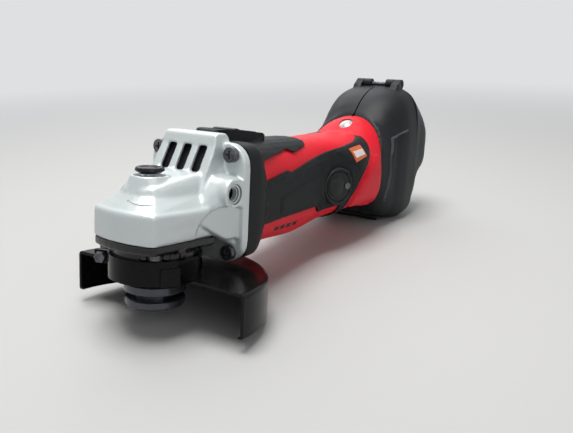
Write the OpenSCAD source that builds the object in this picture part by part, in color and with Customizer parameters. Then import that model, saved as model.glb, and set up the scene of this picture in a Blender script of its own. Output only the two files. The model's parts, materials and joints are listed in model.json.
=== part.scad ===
// Cordless angle grinder with a half-round wheel guard, a die-cast gear case, a slim
// moulded motor housing with a soft grip and a battery case behind a hinged cover.
// The origin lies on the spindle axis where the wheel is clamped: the lower face of the
// inner flange. +X points to the tail, +Z points up, -Y is the operator's left.

/* [Wheel seat] */
// Diameter of the threaded spindle end
thread_d = 10; // [8:0.5:11]
// Length of the threaded spindle end below the wheel seat
thread_len = 10.4; // [9.5:0.1:14]
// Diameter of the spindle body
spindle_d = 12; // [11:0.5:14]
// Diameter of the inner flange and of the lock nut
flange_d = 32; // [26:1:38]
// Thickness of the inner flange
inner_flange_t = 4.4; // [3:0.1:5]
// Diameter of the pilot that centres the wheel
pilot_d = 16; // [15:0.5:20]
// Height of the pilot
pilot_h = 2; // [1:0.1:3]
// Height of the hub that the lock nut stands on
nut_hub_h = 1.6; // [1:0.1:3]
// Thickness of the lock nut
lock_nut_t = 4.6; // [4:0.1:6]

/* [Guard] */
// Outer diameter of the wheel guard
guard_d = 118; // [110:1:130]
// Sheet thickness of the guard
guard_t = 1.6; // [1.2:0.1:2.5]
// Height of the lower face of the guard plate above the wheel seat
guard_plate_z = 7.5; // [6.5:0.1:8.5]
// Depth of the guard skirt below the wheel seat
guard_drop = 13.4; // [10:0.1:18]
// Angle that the guard covers
guard_angle = 182; // [170:1:190]
// Width of the rolled lip at the skirt's lower edge
guard_lip = 1.6; // [1:0.1:3]
// Thickness of the clamping band
band_t = 1.9; // [1.4:0.1:2.4]
// Height of the top edge of the clamping band
band_top_z = 20; // [17:0.5:21]
// Direction of the band's clamping gap, measured from the tail
clamp_dir = 112; // [105:1:125]

/* [Gear case] */
// Height of the motor axis above the wheel seat
axis_z = 44; // [43:0.5:46]
// Height of the joint between bearing box and gear case
split_z = 28.5; // [28:0.1:29.5]
// Thickness of the bearing box plate
box_plate_t = 4.5; // [3.5:0.1:5]
// Diameter of the bearing box neck
neck_d = 44; // [42:0.5:46]
// Distance of the nose's front corners from the spindle axis
nose_front = 22.4; // [21.8:0.1:24]
// Bulge of the nose's front face beyond its corners
nose_bulge = 4; // [2:0.1:5]
// Half width of the nose at its front corners
nose_half_w = 21; // [20.4:0.1:22]
// Height of the nose's shoulder edge
shoulder_z = 44.3; // [43:0.1:46]
// Front face of the flange plate
flange_front_x = 30; // [29:0.1:31]
// Thickness of the flange plate
flange_plate_t = 5.5; // [5:0.1:7]
// Half width of the flange plate
flange_half_w = 33; // [32:0.5:35]
// Half height of the flange plate about the motor axis
flange_half_h = 31.8; // [31:0.1:34]
// Corner radius of the flange plate
flange_corner_r = 12; // [8:1:13]
// Half width of the louvre block
louvre_half_w = 19.4; // [18:0.1:20]
// Top of the louvre block
louvre_top_z = 80.4; // [79:0.1:83]
// Width of each louvre slot
slot_w = 6; // [4:0.5:7]
// Spacing of the louvre slots
slot_pitch = 10.5; // [9:0.1:11]
// Setting of the side-handle bosses behind the sides of the flange plate
handle_set_in = 0; // [0:0.1:2]
// Distance of the side-handle bosses in front of the flange plate
handle_ahead = 6.5; // [5:0.1:8]
// Height of the side-handle bosses
handle_z = 50.8; // [50:0.1:53]
// Diameter of the tapped side-handle holes
handle_bore_d = 8.5; // [6.8:0.1:9]
// Depth of the tapped side-handle holes
handle_bore_len = 13; // [10:0.5:14]
// Diameter of the countersink that leads into a side-handle hole
handle_mouth_d = 13; // [11:0.1:14]
// Radius of the round cut under each side-handle boss
scallop_r = 17.5; // [16:0.1:19]

/* [Gears] */
// Teeth of the pinion
pinion_teeth = 11; // [9:1:12]
// Teeth of the crown gear
crown_teeth = 38; // [36:1:42]
// Pitch radius of the crown gear
crown_r = 18.2; // [17.4:0.1:18.6]
// Face width of the teeth
face_w = 6.6; // [5:0.1:7]

/* [Spindle lock] */
// Place of the lock button along the tool
button_x = -4.5; // [-5.5:0.1:-4]
// Diameter of the lock button
button_d = 15.4; // [13:0.1:16.5]
// Top of the pedestal that carries the button
pedestal_top_z = 60; // [59:0.1:61]
// Travel of the lock button
button_travel = 3.5; // [2:0.1:4]
// Diameter of the lock pin
lock_pin_d = 3.6; // [3:0.1:4]

/* [Motor] */
// Diameter of the motor shaft
shaft_d = 8; // [7:0.1:9]
// Diameter of the armature core
armature_d = 29; // [26:0.5:29.5]
// Length of the armature core
armature_len = 52; // [44:1:54]
// Outer diameter of the motor can
can_d = 42; // [41:0.1:42.4]
// Diameter of the cooling fan
fan_d = 48; // [42:0.5:49.5]
// Blades of the cooling fan
fan_blades = 11; // [7:1:15]
// Diameter of the commutator
commutator_d = 20; // [17:0.5:21]

/* [Motor housing] */
// Thickness of the soft grip over the housing
grip_t = 1.2; // [0.8:0.1:1.6]
// Wall of the housing and of the battery case
wall = 2.6; // [2:0.1:3]
// Half width of the housing at its waist
waist_half_w = 24; // [23.8:0.1:26]
// Top of the housing
housing_top_z = 73.3; // [72.5:0.1:75]
// Diameter of the round brush covers
brush_cover_d = 25; // [22:0.5:26]
// Angle between a brush cover and the tool's long axis
brush_cover_tilt = 20; // [16:1:24]
// Diameter of the lamp lens
lens_d = 10; // [8:0.5:12]
// Slope of the ramp that carries the lamp
lamp_slope = 37; // [32:1:42]

/* [Switch] */
// Travel of the slide switch
switch_travel = 6.5; // [4:0.1:7]
// Half width of the switch knob
knob_half_w = 7.6; // [6:0.1:7.8]

/* [Battery case] */
// Half width of the battery case
case_half_w = 36; // [34:0.5:38]
// Joint between battery case and rear cover
cover_joint_x = 243; // [242:0.5:245]
// Rearmost point of the cover
tail_x = 267; // [264:0.5:270]
// Place of the cover's hinge axis along the tool
hinge_x = 245; // [244.5:0.1:246]
// Height of the cover's hinge axis
hinge_z = 111; // [110:0.1:112]
// Diameter of the hinge knuckles
knuckle_d = 7.5; // [6.5:0.1:8]
// Diameter of the hinge pin
hinge_pin_d = 3; // [2.5:0.1:3.5]
// Width of the cover latch
latch_w = 23; // [18:0.5:26]

/* [Hidden] */

$fn = 48;
// Running fit of shafts in bores, and of pieces seated in one another, on the radius
fit = 0.05;
// Gap between pieces that move past each other or stand just off their seat
gap = 0.3;
// Overshoot of cuts beyond the faces they open
cut = 0.5;

// Heights and depths that several pieces share
nut_top_z = -pilot_h - nut_hub_h;
nut_bottom_z = nut_top_z - lock_nut_t;
guard_top_z = guard_plate_z + guard_t;
box_plate_z = split_z - box_plate_t;
neck_bottom_z = guard_plate_z + 0.3;
band_r = neck_d / 2 + fit * 2;
flange_back_x = flange_front_x + flange_plate_t;
handle_reach = flange_half_w - handle_set_in;
handle_x = flange_front_x - handle_ahead;

// Spindle bearing and the seal under it
bearing_h = 8;
bearing_d = 28;
bearing_z = box_plate_z - bearing_h;

// Tail of the bearing box plate, and the webs that pass beside it
box_tail_half_w = 12.5;
box_tail_x = 17.8;
web_in_y = 21.5;
web_start_x = box_tail_x + 1.8;
seal_h = 3;

// Flange screws
screw_y = 25.1;
screw_rise = 26;
screw_d = 4;
screw_head_d = 8;
screw_head_h = 3.4;
screw_depth = 17;

// Bevel gear pair: both pitch cones meet where the two axes cross
cone_pinion = atan(pinion_teeth / crown_teeth);
cone_crown = 90 - cone_pinion;
cone_len = crown_r / sin(cone_crown);
gear_module = 2 * crown_r / crown_teeth;
toe_scale = (cone_len - face_w) / cone_len;
crown_pitch_drop = crown_r * pinion_teeth / crown_teeth;
crown_back_z = axis_z - crown_pitch_drop - 7.5;
web_top_z = axis_z - crown_pitch_drop * toe_scale - 1.6;
chamber_r = crown_r + 1.2;
chamber_top_z = web_top_z + 3;

// Spindle lock
lock_circle_r = spindle_d / 2 + lock_pin_d / 2 + 0.9;
button_h = 4.6;
button_z = pedestal_top_z + 0.4;
button_floor_z = button_z - button_travel - gap;
spring_floor_z = button_floor_z - 4.6;
lock_tip_z = web_top_z + button_travel + 0.5;
pedestal_r = button_d / 2 + 1.6;

// Motor along its axis
pinion_toe_x = crown_r * toe_scale;
front_bearing_d = 22;
front_bearing_w = 7;
front_bearing_x = flange_back_x - front_bearing_w - 2;
retainer_t = 1.8;
fan_x = flange_back_x + 4.5;
fan_w = 10;
fan_chamber_r = fan_d / 2 + 1.2;
baffle_x = fan_x + fan_w + 2.5;
baffle_t = 1.5;
can_x = baffle_x + baffle_t + 3;
can_len = 68;
can_wall = 1.8;
can_end_x = can_x + can_len;
armature_x = can_x + (can_len - armature_len) / 2;
magnet_gap = 0.6;
commutator_x = can_end_x + 5;
commutator_len = 15;
web_x = commutator_x + commutator_len + 2.5;
web_t = 8;
rear_bearing_d = 19;
rear_bearing_w = 6;
rear_journal_d = 6;

// Brush covers sit square on the flaring sides
brush_x = commutator_x + commutator_len / 2;
cover_seat_y = 27.6;
cover_t = 2.4;
cover_proud = 1.6;

// Motor housing: stations along the tool, each with its half width, top, bottom and the
// squareness of its upper and lower halves
housing_front_x = flange_back_x + 0.5;
housing_stations = [
    [housing_front_x, flange_half_w - grip_t - 0.6, housing_top_z + 1, 13.4, 7, 7],
    [46, flange_half_w - grip_t - 1, housing_top_z + 1, 13.6, 7, 7],
    [50.5, flange_half_w - grip_t - 2, housing_top_z + 0.6, 14.4, 5.4, 5.4],
    [56, 28, housing_top_z, 15.2, 3.6, 3.8],
    [75, 26.4, housing_top_z, 14.4, 3, 3.3],
    [100, waist_half_w + 0.8, housing_top_z, 13.4, 2.8, 3.2],
    [120, waist_half_w, housing_top_z, 15.4, 2.7, 3],
    [130, waist_half_w + 1.5, housing_top_z, 17.6, 2.7, 2.9],
    [150, waist_half_w + 7.6, housing_top_z + 0.3, 20.6, 2.8, 2.7],
    [166, waist_half_w + 9.4, housing_top_z + 0.8, 21.8, 2.8, 2.7],
    [184, waist_half_w + 9.6, housing_top_z + 1.2, 21.6, 2.6, 2.8],
    [192, waist_half_w + 9.2, housing_top_z + 6.6, 21, 2.4, 2.8],
    [199, waist_half_w + 8.6, housing_top_z + 11.6, 21, 2.2, 2.8],
    [206, waist_half_w + 8, housing_top_z + 13.2, 21, 2.1, 2.8]];
// Joint between red housing and battery case: upright below, leaning back above
ring_x = 191;
ring_knee_z = 56;
ring_lean = 0.47;

// Battery case and cover, in the same terms
case_stations = [
    [186, case_half_w - 6, 77, 24, 2.1, 3],
    [191, case_half_w - 5.4, 80, 22, 2.1, 3],
    [197, case_half_w - 4.4, 83.6, 17.5, 2.1, 4],
    [204, case_half_w - 3.6, 86.4, 14, 2.2, 5.5],
    [214, case_half_w - 2.6, 96.6, 12, 2.6, 7],
    [222, case_half_w - 1, 102.6, 9.8, 3, 7],
    [231, case_half_w, 106.8, 8.6, 3.4, 7],
    [cover_joint_x, case_half_w, 109.6, 11, 3.7, 7]];
cover_face_x = cover_joint_x + gap;
cover_stations = [
    [cover_face_x, case_half_w, 109, 12.2, 3.7, 7],
    [248, case_half_w - 0.3, 106.5, 20, 3.6, 7],
    [250.5, case_half_w - 0.5, 105, 31, 3.5, 7],
    [255, case_half_w - 0.6, 101, 38, 3.5, 6.5],
    [260, case_half_w - 0.8, 95.5, 42, 3.6, 6.5],
    [tail_x - 2.5, case_half_w - 1.3, 89, 45, 3.6, 6],
    [tail_x, case_half_w - 3.6, 84.5, 48, 3.6, 5.5]];
case_mid_z = 58;
case_inner_x = 198;
// Seat of the screws that join the two halves of the case, and their reach on the left
case_seat_y = case_half_w - 9;
case_screw_y = case_half_w - 15;
knuckle_out = 19;
knuckle_mid = 12.8;
knuckle_in = 6.5;

// Battery and its rails
battery_x = 204;
battery_len = 40;
battery_half_w = 25;
battery_z = 21;
battery_h = 51;
rail_y = 14;

// Latch under the battery case
latch_x = 217;
latch_z = 10;
latch_knuckle_r = 2.6;
latch_pin_r = 1.2;
latch_recess_z = 12.9;
latch_end_x = 248;

// Slide switch
knob_x = 52;
knob_len = 20.5;
knob_base_z = housing_top_z + grip_t + 0.8;
stem_x = knob_x + 10;
stem_len = 10;
stem_half_w = 3.4;
bar_z = 67;
bar_h = 3;
bar_end_x = 159;
bezel_half_w = 10;
bezel_start_x = housing_front_x + 0.3;
bezel_front_x = knob_x - switch_travel - 2;
bezel_end_x = knob_x + knob_len + 5.5;
switch_x = bar_end_x + 1;

// Lamp on the ramp in front of the battery case
lamp_x = 193.6;
lamp_z = 80.6;

// ---------------------------------------------------------------- shared shapes

// One loft ring across the tool: a superellipse with its own upper and lower squareness
function ring_points(st, grow, n, mid) = [for (i = [0:n - 1])
    let (a = 360 * i / n,
         up = sin(a) >= 0,
         e = 2 / (up ? st[4] : st[5]),
         c = cos(a),
         s = sin(a),
         h = up ? st[2] + grow - mid : mid - st[3] + grow)
    [st[0], (st[1] + grow) * sign(c) * pow(abs(c), e), mid + h * sign(s) * pow(abs(s), e)]];

// Faces of a loft of k rings with n points each, capped at both ends
function loft_faces(k, n) = concat(
    [[for (i = [0:n - 1]) i]],
    [for (r = [0:k - 2]) for (i = [0:n - 1])
        let (j = (i + 1) % n)
        each [[r * n + i, (r + 1) * n + i, (r + 1) * n + j],
              [r * n + i, (r + 1) * n + j, r * n + j]]],
    [[for (i = [0:n - 1]) k * n - 1 - i]]);

module loft(rings) {
    polyhedron([for (r = rings) each r], loft_faces(len(rings), len(rings[0])));
}

module body_loft(stations, grow, mid, n = 32) {
    loft([for (st = stations) ring_points(st, grow, n, mid)]);
}

// A rod along X, starting at x
module rod_x(x, len, r, y = 0, z = axis_z) {
    translate([x, y, z]) rotate([0, 90, 0]) cylinder(h = len, r = r);
}

// A rod along Y, centred on y = 0 unless told otherwise
module rod_y(x, z, y0, y1, r) {
    translate([x, y1, z]) rotate([90, 0, 0]) cylinder(h = y1 - y0, r = r);
}

// An outline in the x-z plane, pulled along Y from y0 to y1
module side_prism(points, y0, y1) {
    translate([0, y1, 0]) rotate([90, 0, 0]) linear_extrude(y1 - y0) polygon(points);
}

module tube(h, r_out, r_in) {
    difference() {
        cylinder(h = h, r = r_out);
        translate([0, 0, -cut]) cylinder(h = h + 2 * cut, r = r_in);
    }
}

// A rectangle with its corners cut off
module chamfered(half_x, half_y, c) {
    polygon([[half_x, c - half_y], [half_x, half_y - c], [half_x - c, half_y], [c - half_x, half_y],
        [-half_x, half_y - c], [-half_x, c - half_y], [c - half_x, -half_y], [half_x - c, -half_y]]);
}

module both_sides() {
    children();
    mirror([0, 1, 0]) children();
}

// Points of an arc about (cx, cy)
function arc(cx, cy, r, a0, a1, n) =
    [for (i = [0:n]) let (a = a0 + (a1 - a0) * i / n) [cx + r * cos(a), cy + r * sin(a)]];

// ---------------------------------------------------------------- gear case

// Outline of the nose seen from above: bulged front, flaring sides. Returns half of it,
// from the middle of the front to the flange
function nose_half(inset, w_mid, w_rear) =
    let (w = nose_half_w - inset,
         bulge = nose_bulge,
         r = (w * w + bulge * bulge) / (2 * bulge),
         span = asin(w / r))
    concat(
        [for (i = [0:4]) let (a = span * i / 4.2)
            [-nose_front + inset - bulge + r - r * cos(a), r * sin(a)]],
        [[-nose_front + inset + 0.4, w - 0.2], [-nose_front + inset + 1.6, w + 0.2]],
        [[6, w_mid - inset], [flange_front_x + 1, w_rear - inset]]);

function nose_ring(z, inset, w_mid, w_rear, z_rear = 0) =
    let (half = nose_half(inset, w_mid, w_rear),
         n = len(half),
         full = concat([for (i = [n - 1:-1:0]) half[i]], [for (i = [1:n - 1]) [half[i][0], -half[i][1]]]))
    [for (p = full) [p[0], p[1], z + z_rear * (p[0] + nose_front) / (2 * nose_front)]];

module nose() {
    loft([nose_ring(split_z - 8.6, 0, 23.2, 27.6),
          nose_ring(split_z, 0, 23.4, 28.4),
          nose_ring(split_z + 7, 0, 24.1, 29.4),
          nose_ring(shoulder_z - 1.8, 0.1, 25.2, 30.4),
          nose_ring(shoulder_z - 0.5, 0.7, 25.2, 30.4),
          nose_ring(shoulder_z, 1.9, 25, 30),
          nose_ring(shoulder_z + 4, 6.5, 25.6, 31.5, 1.2),
          nose_ring(shoulder_z + 6.4, 9, 25.5, 31.8, 1.3)]);
}

// The ridge over the gears, from its rounded tip under the lock pedestal to the louvres:
// half of its foot, seen from above
ridge_foot = [[-17, 5.5], [-13.8, 12], [-6, 14.9], [15.5, 20], [flange_front_x, 23.4]];

// One ring of the ridge: k runs from 0 at the foot to 1 at the edge of its top
function ridge_ring(k, climb) =
    let (half = [for (p = ridge_foot)
            [p[0] < 0 ? p[0] * (1 - 0.19 * k) : p[0], p[1] - k * min(4.3, 0.34 * p[1])]],
         n = len(half),
         full = concat([for (p = half) [p[0], -p[1]]], [for (i = [n - 1:-1:0]) half[i]]))
    [for (p = full) [p[0], p[1], shoulder_z + 5.7 + climb * (5.5 + 0.19 * (p[0] + 13.5))]];

module ridge() {
    foot = [for (p = ridge_ring(0, 0)) [p[0], p[1], shoulder_z - 6]];
    loft([foot, ridge_ring(0, 0), ridge_ring(0.3, 0.62), ridge_ring(0.62, 0.88), ridge_ring(1, 1)]);
}

louvre_outline = [[12, shoulder_z + 8], [15, pedestal_top_z], [22.5, louvre_top_z - 7],
    [24.2, louvre_top_z - 1.4], [26, louvre_top_z], [flange_back_x - 2.5, louvre_top_z],
    [flange_back_x, louvre_top_z - 3], [flange_back_x, shoulder_z + 8]];
duct_outline = [[17.5, pedestal_top_z - 0.5], [24.2, louvre_top_z - 8.5],
    [26.2, louvre_top_z - 2.6], [flange_back_x + cut, louvre_top_z - 2.6],
    [flange_back_x + cut, axis_z + front_bearing_d / 2 + 3.4], [18.5, axis_z + front_bearing_d / 2 + 3.4]];

module flange_outline(grow = 0) {
    w = flange_half_w + grow;
    h = flange_half_h + grow;
    r = flange_corner_r;
    polygon(concat(arc(h - r, w - r, r, 0, 90, 8), arc(r - h, w - r, r, 90, 180, 8),
        arc(r - h, r - w, r, 180, 270, 8), arc(h - r, r - w, r, 270, 360, 8)));
}

module flange_screw_places() {
    for (sy = [-1, 1]) {
        for (sz = [-1, 1]) {
            translate([0, sy * screw_y, axis_z + sz * screw_rise]) children();
        }
    }
}

// Fairing that sweeps out from the nose's side to the side-handle boss
function fairing_ring(t) =
    let (x = 5.5 + (flange_front_x - 4.5) * t,
         ease = (1 - cos(180 * min(1, t * 1.6))) / 2,
         out = nose_half_w + 2.5 + (handle_reach - nose_half_w - 2.8) * ease,
         top = shoulder_z + 1.4 + (handle_z + 8.5 - shoulder_z - 1.4) * ease)
    [[x, 17, split_z - 2], [x, out - 1.2, split_z - 2], [x, out, split_z + 1], [x, out, top - 6],
     [x, out - 0.6, top - 3.4], [x, out - 2, top - 1.3], [x, out - 4, top - 0.3], [x, out - 6, top],
     [x, 17, top + 1]];

module handle_fairing() {
    loft([for (i = [0:9]) fairing_ring(i / 9)]);
}

// Edge where the side of the gear case turns under, behind the nose: [x, z] at its ends
undercut = [[3, 39.3], [17.2, 29.4], [flange_front_x, 22]];
function undercut_z(x) = undercut[1][1] +
    (x - undercut[1][0]) * (undercut[2][1] - undercut[1][1]) / (undercut[2][0] - undercut[1][0]);

// Round cut under each boss, which gives a screwdriver room: its flat end leans outwards
// to the flange, and its foot stands upright over the bearing box
module scallop() {
    round_x = flange_front_x - 8.5;
    intersection() {
        rod_y(round_x, split_z - 1, 16, handle_reach + 3, scallop_r);
        union() {
            linear_extrude(60) polygon([[0, 21.4], [flange_front_x, 30], [flange_front_x, handle_reach + 3],
                [0, handle_reach + 3]]);
            intersection() {
                side_prism(concat([[0, 0], [0, undercut[0][1] + 2]], undercut, [[flange_front_x, 0]]),
                    0, handle_reach + 3);
                linear_extrude(60) polygon([[0, 22.7], [flange_front_x, 23.5],
                    [flange_front_x, handle_reach + 3], [0, handle_reach + 3]]);
            }
        }
    }
}

module gear_case() {
    color("silver") difference() {
        union() {
            nose();
            ridge();
            translate([button_x, 0, shoulder_z])
                cylinder(h = pedestal_top_z - shoulder_z, r1 = pedestal_r + 5.8, r2 = pedestal_r);
            intersection() {
                side_prism(louvre_outline, -louvre_half_w, louvre_half_w);
                rotate([90, 0, 90]) linear_extrude(flange_back_x * 2) polygon([
                    [-louvre_half_w, 0], [louvre_half_w, 0], [louvre_half_w, louvre_top_z - 14],
                    [louvre_half_w - 1.6, louvre_top_z], [1.6 - louvre_half_w, louvre_top_z],
                    [-louvre_half_w, louvre_top_z - 14]]);
            }
            translate([flange_front_x, 0, axis_z]) rotate([0, 90, 0])
                linear_extrude(flange_plate_t) flange_outline();
            both_sides() {
                handle_fairing();
                rod_y(handle_x, handle_z, 20, handle_reach, 8.6);
            }
        }
        both_sides() scallop();
        // Everything under the joint, except the webs that run down to the flange's corners
        translate([-nose_front * 2, -web_in_y, split_z - 20])
            cube([nose_front * 2 + flange_front_x - 0.01, web_in_y * 2, 20]);
        both_sides() side_prism([[-nose_front * 2, split_z - 20], [-nose_front * 2, split_z],
            [web_start_x, split_z], [web_start_x, undercut_z(web_start_x)],
            [flange_front_x - 0.01, undercut_z(flange_front_x - 0.01)],
            [flange_front_x - 0.01, split_z - 20]], web_in_y - cut, handle_reach + 3);
        // Gear chamber, bush seat and pinion pocket
        translate([0, 0, split_z - cut]) cylinder(h = chamber_top_z - split_z + cut, r = chamber_r);
        translate([0, 0, chamber_top_z - cut]) cylinder(h = 9.8 + cut, r = 6.5 + fit);
        rod_x(8.7, flange_back_x, 7.2);
        rod_x(front_bearing_x, flange_back_x, front_bearing_d / 2 + fit);
        rod_x(front_bearing_x + front_bearing_w, flange_back_x, front_bearing_d / 2 + 4);
        // Exhaust duct and its three slots
        side_prism(duct_outline, 2.6 - louvre_half_w, louvre_half_w - 2.6);
        for (k = [-1:1]) {
            translate([8, k * slot_pitch - slot_w / 2, pedestal_top_z + 0.6])
                cube([20, slot_w, louvre_top_z - pedestal_top_z - 7.3]);
        }
        // Lock button recess, spring well and pin bore
        translate([button_x, 0, button_floor_z])
            cylinder(h = pedestal_top_z, r = button_d / 2 + 0.25);
        translate([-lock_circle_r, 0, spring_floor_z])
            cylinder(h = pedestal_top_z, r = lock_pin_d / 2 + 1.9);
        translate([-lock_circle_r, 0, split_z]) cylinder(h = pedestal_top_z, r = lock_pin_d / 2 + fit * 2);
        // Tapped side-handle holes
        both_sides() rod_y(handle_x, handle_z, handle_reach - handle_bore_len,
            handle_reach + cut, handle_bore_d / 2);
        both_sides() translate([handle_x, handle_reach + 0.02, handle_z]) rotate([90, 0, 0])
            cylinder(h = 2, r1 = handle_mouth_d / 2, r2 = handle_bore_d / 2);
        // Screw holes, and flats for the heads
        flange_screw_places() {
            rotate([0, 90, 0]) cylinder(h = flange_back_x + cut, r = screw_d / 2 + 0.15);
            translate([flange_front_x - 12, 0, 0]) rotate([0, 90, 0])
                cylinder(h = 12, r = screw_head_d / 2 + 0.6);
        }
        box_screw_places() translate([0, 0, split_z - cut]) cylinder(h = 8 + cut, r = 1.6 + fit);
    }
}

module gear_case_screws() {
    color("dimgray") flange_screw_places() {
        difference() {
            union() {
                translate([flange_front_x - screw_head_h, 0, 0]) rotate([0, 90, 0])
                    cylinder(h = screw_head_h, r = screw_head_d / 2);
                rotate([0, 90, 0]) translate([0, 0, flange_front_x])
                    cylinder(h = screw_depth, r = screw_d / 2);
            }
            // Cross recess
            for (a = [0, 90]) {
                translate([flange_front_x - screw_head_h - cut, 0, 0]) rotate([a, 0, 0])
                    translate([0, -2.2, -0.5]) cube([2, 4.4, 1]);
            }
        }
    }
}

// ---------------------------------------------------------------- bearing box

module box_screw_places() {
    for (sy = [-1, 1]) {
        translate([-17.8, sy * 17.6, 0]) children();
        translate([flange_front_x - 6.4, sy * (box_tail_half_w - 4.1), 0]) children();
    }
}

module bearing_box() {
    lug_angles = [-149, -122, -100, 100, 122, 149];
    color("#1a1a1c") difference() {
        union() {
            difference() {
                loft([nose_ring(box_plate_z, 0.7, 23.7, 25.4), nose_ring(box_plate_z + 0.6, 0.3, 23.5, 25.2),
                      nose_ring(split_z, 0.3, 23.5, 25.2)]);
                // Corners cut off behind the round of the bearing
                both_sides() linear_extrude(split_z + 1) polygon([[box_tail_x, 24.5],
                    [box_tail_x + 6, box_tail_half_w], [40, box_tail_half_w], [40, 40], [box_tail_x, 40]]);
            }
            translate([0, 0, neck_bottom_z]) cylinder(h = box_plate_z + 2 - neck_bottom_z, r = neck_d / 2);
            // Stops for the guard band
            for (a = lug_angles) {
                rotate([0, 0, a]) translate([neck_d / 2 - 2, -1.6, band_top_z + 0.8])
                    cube([4, 3.2, box_plate_z - band_top_z]);
            }
        }
        translate([flange_front_x - gap, -40, 0]) cube([40, 80, 40]);
        translate([0, 0, bearing_z]) cylinder(h = 40, r = bearing_d / 2 + fit);
        translate([0, 0, neck_bottom_z - cut]) cylinder(h = 40, r = bearing_d / 2 - 2);
        translate([0, 0, neck_bottom_z + 1]) cylinder(h = seal_h + 0.4, r = bearing_d / 2 + 1 + fit);
        box_screw_places() translate([0, 0, box_plate_z - 2]) cylinder(h = 20, r = 1.6 + fit);
    }
}

module bearing_box_screws() {
    color("dimgray") box_screw_places() {
        translate([0, 0, box_plate_z - 2.4]) cylinder(h = 2.4, r = 2.6);
        translate([0, 0, box_plate_z]) cylinder(h = box_plate_t + 6, r = 1.6);
    }
}

module spindle_bearing() {
    color("lightsteelblue") translate([0, 0, bearing_z]) difference() {
        tube(bearing_h, bearing_d / 2, spindle_d / 2 + fit);
        for (z = [-1, bearing_h - 0.6]) {
            translate([0, 0, z]) tube(1.6, bearing_d / 2 - 2, spindle_d / 2 + 2);
        }
    }
}

module dust_seal() {
    color("dimgray") translate([0, 0, neck_bottom_z + 1.2])
        tube(seal_h, bearing_d / 2 + 1, spindle_d / 2 + 2 + gap);
}

module needle_bush() {
    color("goldenrod") translate([0, 0, chamber_top_z + 0.8]) tube(8, 6.5, 4 + fit);
}

// ---------------------------------------------------------------- spindle and gears

// Involute angle and the half angle of a tooth at radius r of the virtual spur gear
function involute(r_base, r) =
    let (a = acos(min(1, r_base / r)))
    tan(a) * 180 / PI - a;
function tooth_half(r, r_pitch, teeth, fill) =
    let (r_base = r_pitch * cos(20))
    90 / teeth * fill + involute(r_base, r_pitch) - involute(r_base, max(r, r_base));

// One ring of a bevel gear about +Z with its apex at the origin. Each tooth is drawn on
// the back cone, as the tooth of a virtual spur gear, and wrapped round the axis
function bevel_ring(teeth, cone, addendum, dedendum, steps, scale, fill) =
    let (r_pitch = cone_len * tan(cone),
         virtual = teeth / cos(cone),
         r_tip = r_pitch + addendum * gear_module,
         r_root = r_pitch - dedendum * gear_module)
    [for (t = [0:teeth - 1]) for (k = [0:2 * steps + 1])
        let (side = k <= steps ? -1 : 1,
             step = k <= steps ? k : 2 * steps + 1 - k,
             r = r_root + (r_tip - r_root) * step / steps,
             half = tooth_half(r, r_pitch, virtual, fill),
             a = t * 360 / teeth + side * half / cos(cone),
             radial = cone_len * sin(cone) + (r - r_pitch) * cos(cone),
             axial = cone_len * cos(cone) - (r - r_pitch) * sin(cone))
        scale * [radial * cos(a), radial * sin(a), axial]];

// Solid of revolution-like gear blank: rings joined to a centre point at each end
module bevel_body(rings, z_start, z_end) {
    n = len(rings[0]);
    k = len(rings);
    points = concat([for (r = rings) each r], [[0, 0, z_start], [0, 0, z_end]]);
    faces = concat(
        [for (i = [0:n - 1]) [k * n, i, (i + 1) % n]],
        [for (r = [0:k - 2]) for (i = [0:n - 1])
            let (j = (i + 1) % n)
            each [[r * n + i, (r + 1) * n + i, (r + 1) * n + j],
                  [r * n + i, (r + 1) * n + j, r * n + j]]],
        [for (i = [0:n - 1]) [k * n + 1, (k - 1) * n + (i + 1) % n, (k - 1) * n + i]]);
    polyhedron(points, faces);
}

function circle_like(ring, r, z) = [for (p = ring) let (l = norm([p[0], p[1]]))
    [p[0] / l * r, p[1] / l * r, z]];

module crown_gear() {
    heel = bevel_ring(crown_teeth, cone_crown, 0.7, 1.4, 1, 1, 0.9);
    toe = bevel_ring(crown_teeth, cone_crown, 0.7, 1.4, 1, toe_scale, 0.9);
    drop = axis_z - crown_back_z;
    web = axis_z - web_top_z;
    color("slategray") difference() {
        union() {
            translate([0, 0, axis_z]) mirror([0, 0, 1])
                bevel_body([toe, heel, circle_like(heel, crown_r - 1, drop)], web, drop);
            translate([0, 0, box_plate_z + 0.8]) cylinder(h = crown_back_z - box_plate_z, r = 9);
        }
        translate([0, 0, -cut]) cylinder(h = axis_z, r = spindle_d / 2 + fit / 2);
        // Flat web inside the teeth, with holes that take the lock pin
        translate([0, 0, web_top_z]) cylinder(h = 10, r = crown_r * toe_scale - 1.2);
        for (a = [0:90:270]) {
            rotate([0, 0, a]) translate([-lock_circle_r, 0, web_top_z - 5])
                cylinder(h = 12, r = lock_pin_d / 2 + 0.3);
        }
    }
}

module pinion() {
    heel = bevel_ring(pinion_teeth, cone_pinion, 1.15, 0.95, 3, 1, 0.9);
    toe = bevel_ring(pinion_teeth, cone_pinion, 1.15, 0.95, 3, toe_scale, 0.9);
    half_pitch = 180 / pinion_teeth;
    color("slategray") translate([0, 0, axis_z]) rotate([0, 90, 0]) difference() {
        union() {
            rotate([0, 0, half_pitch]) bevel_body([toe, heel], toe[0][2], heel[0][2]);
            translate([0, 0, heel[0][2] - 1]) cylinder(h = 3, r = 4.4);
        }
        cylinder(h = 40, r = 2.4 + fit / 2);
    }
}

module spindle() {
    color("silver") difference() {
        union() {
            translate([0, 0, -thread_len]) cylinder(h = thread_len, r = thread_d / 2);
            cylinder(h = web_top_z + 1.2, r = spindle_d / 2);
            cylinder(h = chamber_top_z + 8.4, r = 4);
        }
        // Groove for the ring that holds the crown gear
        translate([0, 0, web_top_z]) tube(1, spindle_d, spindle_d / 2 - 0.6);
    }
}

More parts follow.
